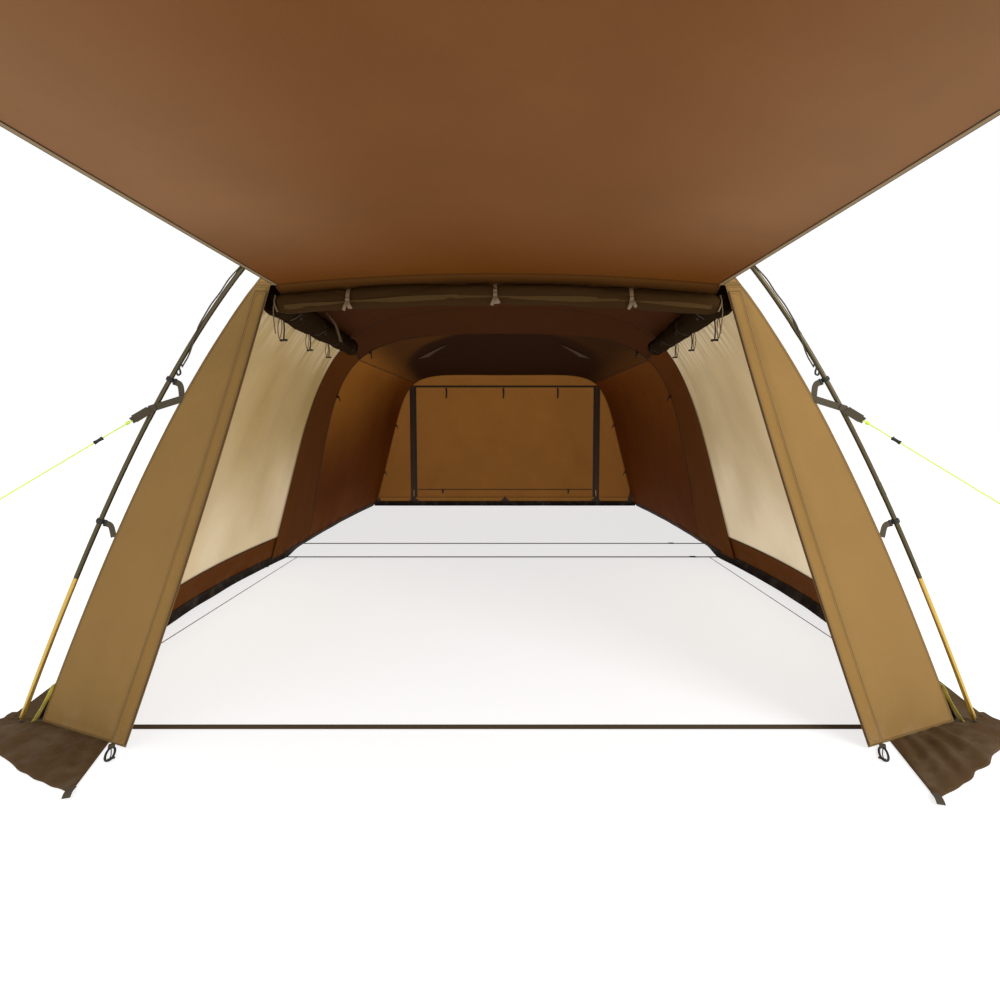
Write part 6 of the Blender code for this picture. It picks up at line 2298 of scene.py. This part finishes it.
    def build(self) -> None:
        """Make all arches."""
        joint = FRONT.at_height(LEG_HEIGHT)
        gap = FRONT.step(joint, 0.0002)
        ts = spread(joint + gap, 1.0, 90)
        left, right = ([FRONT.pole(t, s) for t in ts] for s in (-1.0, 1.0))
        path = left + right[-2::-1]
        self.tube("front_arch_pole", path, [1.0] * len(path), "dark_pole")
        arches = {"middle_arch_front": MIDDLE_FRONT, "middle_arch_rear": MIDDLE_REAR, "rear_arch": REAR}
        for name, section in arches.items():
            ts = spread(section.at_height(0.050), 1.0, 70)
            (left, ends), (right, _) = (self.footed(section, s, ts, CLOTH) for s in (-1.0, 1.0))
            self.tube(name, left + right[-2::-1], ends + ends[-2::-1], "dark_pole")
            self.clips(name, section, (0.45, 0.95, 1.35))
        for side in Side:
            ts = spread(FRONT.at_height(0.050), joint - gap, 14)
            leg, ends = self.footed(FRONT, side.value, ts, 0.002)
            self.tube(f"front_leg_{side.label}", leg, ends, "gold_pole")
            self.elastic(side)
            self.canopy_pole(side)
        self.clips("front_arch_pole", FRONT, (0.69, 1.190, 1.62))

    def canopy_pole(self, side: Side) -> None:
        """Upright pole under a front corner of the canopy."""
        tilt = Vector((0.0, math.sin(CANOPY_RISE), math.cos(CANOPY_RISE)))
        x, y, top = eyelet_place(side.value) - tilt * (CLOTH / 2.0 + 2.0 * CLEAR)
        profile = [(0.0, 1.0), (0.001, 1.22), (0.003, 1.25), (0.0215, 1.25), (0.022, 1.25), (0.0225, 1.0)]
        profile += [(h, 1.0) for h in (0.640, 1.210, 1.500)]
        rest = [(top - 0.0125, 1.0), (top - 0.012, 0.4), (top - 0.001, 0.4), (top, 0.25)]
        bm = bmesh.new()
        path = [Vector((x, y, h)) for h, _ in profile + rest]
        sweep(bm, path, circle(POLE_RADIUS, 24), BEHIND, [w for _, w in profile + rest])
        for height in (0.62, 1.22):
            self.sleeve(bm, Vector((x, y, height)), UP, 24)
        node = f"canopy_pole_{side.label}"
        seat(new_object(f"{node}_tube", bm, 40.0), "gold_pole", "gold_pole", (node,), node)


@dataclass
class Ground:
    """Straps on the ground, adjusters, foot tabs and peg hooks."""

    buckle_length: float = 0.045
    places: tuple[float, float] = (1.50, 1.47)

    def tab_inner(self) -> float:
        """How far out the front foot tab's plate begins."""
        return Arches().foot(FRONT, 1.0, 0.002).x - 0.044

    def straps(self) -> None:
        """Front strap and both middle straps."""
        mid, end = STRAP_THICK / 2.0, self.tab_inner() - 0.004
        bend, knee = WING_FOOT_HALF + 0.140, FRONT.foot - 0.045
        right = [Vector((x, y, mid)) for x, y in ((bend, -0.034), (knee, 0.0), (end, 0.0))]
        left = [Vector((-p.x, p.y, p.z)) for p in reversed(right)]
        runs = [("front_strap", left + [Vector((x, -0.034, mid)) for x in spread(-1.2, 1.2, 30)] + right)]
        for name, section in (("middle_strap_front", MIDDLE_FRONT), ("middle_strap_rear", MIDDLE_REAR)):
            reach = section.outline(section.at_height(WALL_FOOT))[0] + SKIRT_RUN - 1.5 * CLOTH
            runs.append((name, [Vector((x, section.depth, mid)) for x in spread(-reach, reach, 40)]))
        ring = band(STRAP_WIDTH, STRAP_THICK)
        for name, path in runs:
            finish = "ground_webbing" if name == "front_strap" else "black_tape"
            strand(f"{name}_webbing", path, ring, "dark_webbing", finish, (name,))

    def buckle(self, node: str, across: float, depth: float) -> None:
        """Ladder adjuster with side rails and three bars."""
        bm = bmesh.new()
        rail = STRAP_WIDTH / 2.0 + CLEAR + 0.0015
        roof = STRAP_THICK + CLEAR
        for side in (-1.0, 1.0):
            spot = Vector((across, depth + side * rail, (roof + 0.003) / 2.0))
            block(bm, (self.buckle_length, 0.003, roof + 0.003), Matrix.Translation(spot), 0.0008)
        for shift in (-0.019, 0.0, 0.019):
            spot = Vector((across + shift, depth, roof + 0.0015))
            block(bm, (0.007, 2.0 * rail, 0.003), Matrix.Translation(spot), 0.0009)
        seat(new_object(f"{node}_ladder", bm), "black_plastic", "black_plastic", (node,), node)

    def foot_tab(self, side: Side) -> None:
        """Yellow webbing from the front corner to the plate under the pole."""
        sign, off = side.value, CLOTH / 2.0 + CLEAR + 0.001
        share = LIVING.share(0.0125)
        path = []
        for height in spread(0.135, WALL_FOOT, 3):
            t = FRONT.at_height(height)
            nx, nz = FRONT.outward(t)
            spot = LIVING.skin(share, t, sign)
            path.append(Vector((spot.x + sign * nx * off, 0.0, spot.z + nz * off)))
        foot = Arches().foot(FRONT, sign, 0.002)
        path.append(Vector((sign * self.tab_inner(), 0.0, 0.001)))
        path.append(Vector((foot.x + sign * 0.022, 0.0, 0.001)))
        path = [path[0], path[1], path[2], *(path[3].lerp(path[4], s) for s in spread(0.0, 1.0, 6))]
        bm = bmesh.new()
        rows = []
        for i, spot in enumerate(path):
            rise = BEHIND.cross(heading(path, i)).normalized()
            turn = math.radians(20.0) * ease(i, 0.0, 2.0) * (1.0 - ease(i, 3.0, 5.0))
            wide = Vector((0.0, math.cos(turn), 0.0)) + rise * (sign * math.sin(turn))
            rows.append([spot + wide * a + rise * b for a, b in band(0.025, 0.002)])
        lay_grid(bm, rows)
        node = f"foot_tab_{side.label}"
        seat(new_object(f"{node}_webbing", bm), "yellow_webbing", "yellow_webbing", (node,))
        bm = bmesh.new()
        ring = [(0.0055, -0.0002), (0.0095, 0.0), (0.0088, 0.0010), (0.0055, 0.0008)]
        turned(bm, ring, Vector((foot.x, 0.0, 0.0021)), UP, 28)
        seat(new_object(f"foot_eyelet_{side.label}", bm), "black_plastic", "black_plastic")

    def peg_hook(self, side: Side) -> None:
        """Flat hook for a ground peg, with the strap that holds it."""
        sign = side.value
        across = WING_FOOT_HALF + 0.035
        eye = Vector((sign * across, wing_line(across) - CLOTH - CLEAR - 0.055, 0.003 + CLEAR))
        lean = math.radians(29.0)

        def lay(a: float, b: float, rise: float = 0.0) -> Vector:
            across = a * math.cos(lean) + b * math.sin(lean) - 0.012
            return eye + Vector((sign * across, b * math.cos(lean) - a * math.sin(lean), rise))

        bm = bmesh.new()
        ring = [(a * 3.6, b * 3.0) for a, b in circle(0.001, 12)]
        path = []
        for a in spread(0.0, TURN, 48):
            wide = math.copysign(abs(math.sin(a)) ** 0.8, math.sin(a))
            path.append(lay(0.0120 * wide - 0.002 * math.cos(a), 0.004 + 0.042 * math.cos(a)))
        sweep(bm, path, ring)
        tongue = [lay(a, b) for a, b in ((0.0, -0.036), (-0.0035, -0.006), (0.0, 0.038))]
        sweep(bm, smooth_path(tongue), [(a * 1.6, b * 2.4) for a, b in circle(0.001, 12)])
        sweep(bm, [lay(-0.016, -0.026), lay(0.004, -0.032)], ring)
        node = f"peg_hook_{side.label}"
        seat(new_object(f"{node}_moulding", bm), "black_plastic", "black_plastic", (node,))
        path = smooth_path([lay(0.0, b, z) for b, z in ((0.040, 0.0), (0.050, 0.004), (0.068, 0.003))])
        strand(f"peg_strap_{side.label}", path, band(0.020, 0.0016), "dark_webbing", "dark_webbing")
        bm = bmesh.new()
        ring = [(0.012 + a, b) for a, b in circle(0.003, 8)[:-1]]
        turned(bm, ring, Vector((sign * 1.738, 2.215, 0.005)), Vector((0.2, 0.2, 1.0)), 24)
        seat(new_object(f"skirt_ring_{side.label}", bm), "black_plastic", "black_plastic")

    def build(self) -> None:
        """Make everything on the ground."""
        self.straps()
        self.buckle("strap_buckle_front", self.places[0], MIDDLE_FRONT.depth)
        self.buckle("strap_buckle_rear", self.places[1], MIDDLE_REAR.depth)
        for side in Side:
            self.foot_tab(side)
            self.peg_hook(side)


@dataclass
class Zips:
    """Zip sliders of the front opening and the rear door.

    Attributes:
        body: length, width and thickness of a slider's body.
        bridge: the same of its bridge.
        tab: the same of its pull tab.
    """

    body: tuple[float, float, float] = (0.0155, 0.0078, 0.0020)
    bridge: tuple[float, float, float] = (0.0090, 0.0022, 0.0018)
    tab: tuple[float, float, float] = (0.0260, 0.0070, 0.0013)

    def slider(self, node: str, spot: Vector, along: Vector, out: Vector) -> None:
        """Slider body with bridge and pull tab, at a spot on the cloth."""
        along, out = along.normalized(), out.normalized()
        bm = bmesh.new()
        top = spot + out * 0.0031
        block(bm, self.body, facing(along, out, spot + out * 0.0014), 0.0009)
        block(bm, self.bridge, facing(along, out, top), 0.0006)
        block(bm, self.tab, facing(along, out, spot + along * 0.0200 + out * 0.0031), 0.0005)
        seat(new_object(f"{node}_pull", bm, 35.0), "zip_metal", "zip_metal", (node,), node)

    def build(self) -> None:
        """Make all sliders."""
        lean = REAR.lean / REAR.height
        for side in Side:
            sign, label = side.value, side.label
            shift = Vector((sign * 0.010, 0.0, 0.0))
            top = wing_inner(1.0 - 0.090 / (ROOT_HEIGHT - WING_LIFT), sign) + shift
            low = wing_inner(0.03, sign) + shift
            along = (low - top).normalized()
            out = wing_outward(sign)
            out = (out - along * out.dot(along)).normalized()
            self.slider(f"front_slider_{label}", top + out * (CLOTH / 2.0 + CLEAR), along, out)
            spot = Vector((sign * (REAR_DOOR_HALF + 0.008), REAR.plane(0.125) + CLEAR, 0.125))
            self.slider(f"rear_slider_{label}", spot, Vector((0.0, lean, -1.0)), Vector((0.0, -1.0, -lean)))


def main() -> None:
    """Build the studio, the cords and then every sub-assembly."""
    logging.basicConfig(level=logging.INFO, format="%(message)s")
    Studio().build()
    for side in Side:
        Guys(side).build()
        SideCord(side).build()
    Shell().build()
    Front().build()
    Canopy().build()
    Rear().build()
    for side in Side:
        SideDoor(side).build()
    Skirts().build()
    Rolls().build()
    Arches().build()
    Ground().build()
    Zips().build()
    boxes = {"cad": CAD_BOX, "visual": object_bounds()}
    {name: [list(corner) for corner in box] for name, box in boxes.items()}


if __name__ == "__main__":
    main()
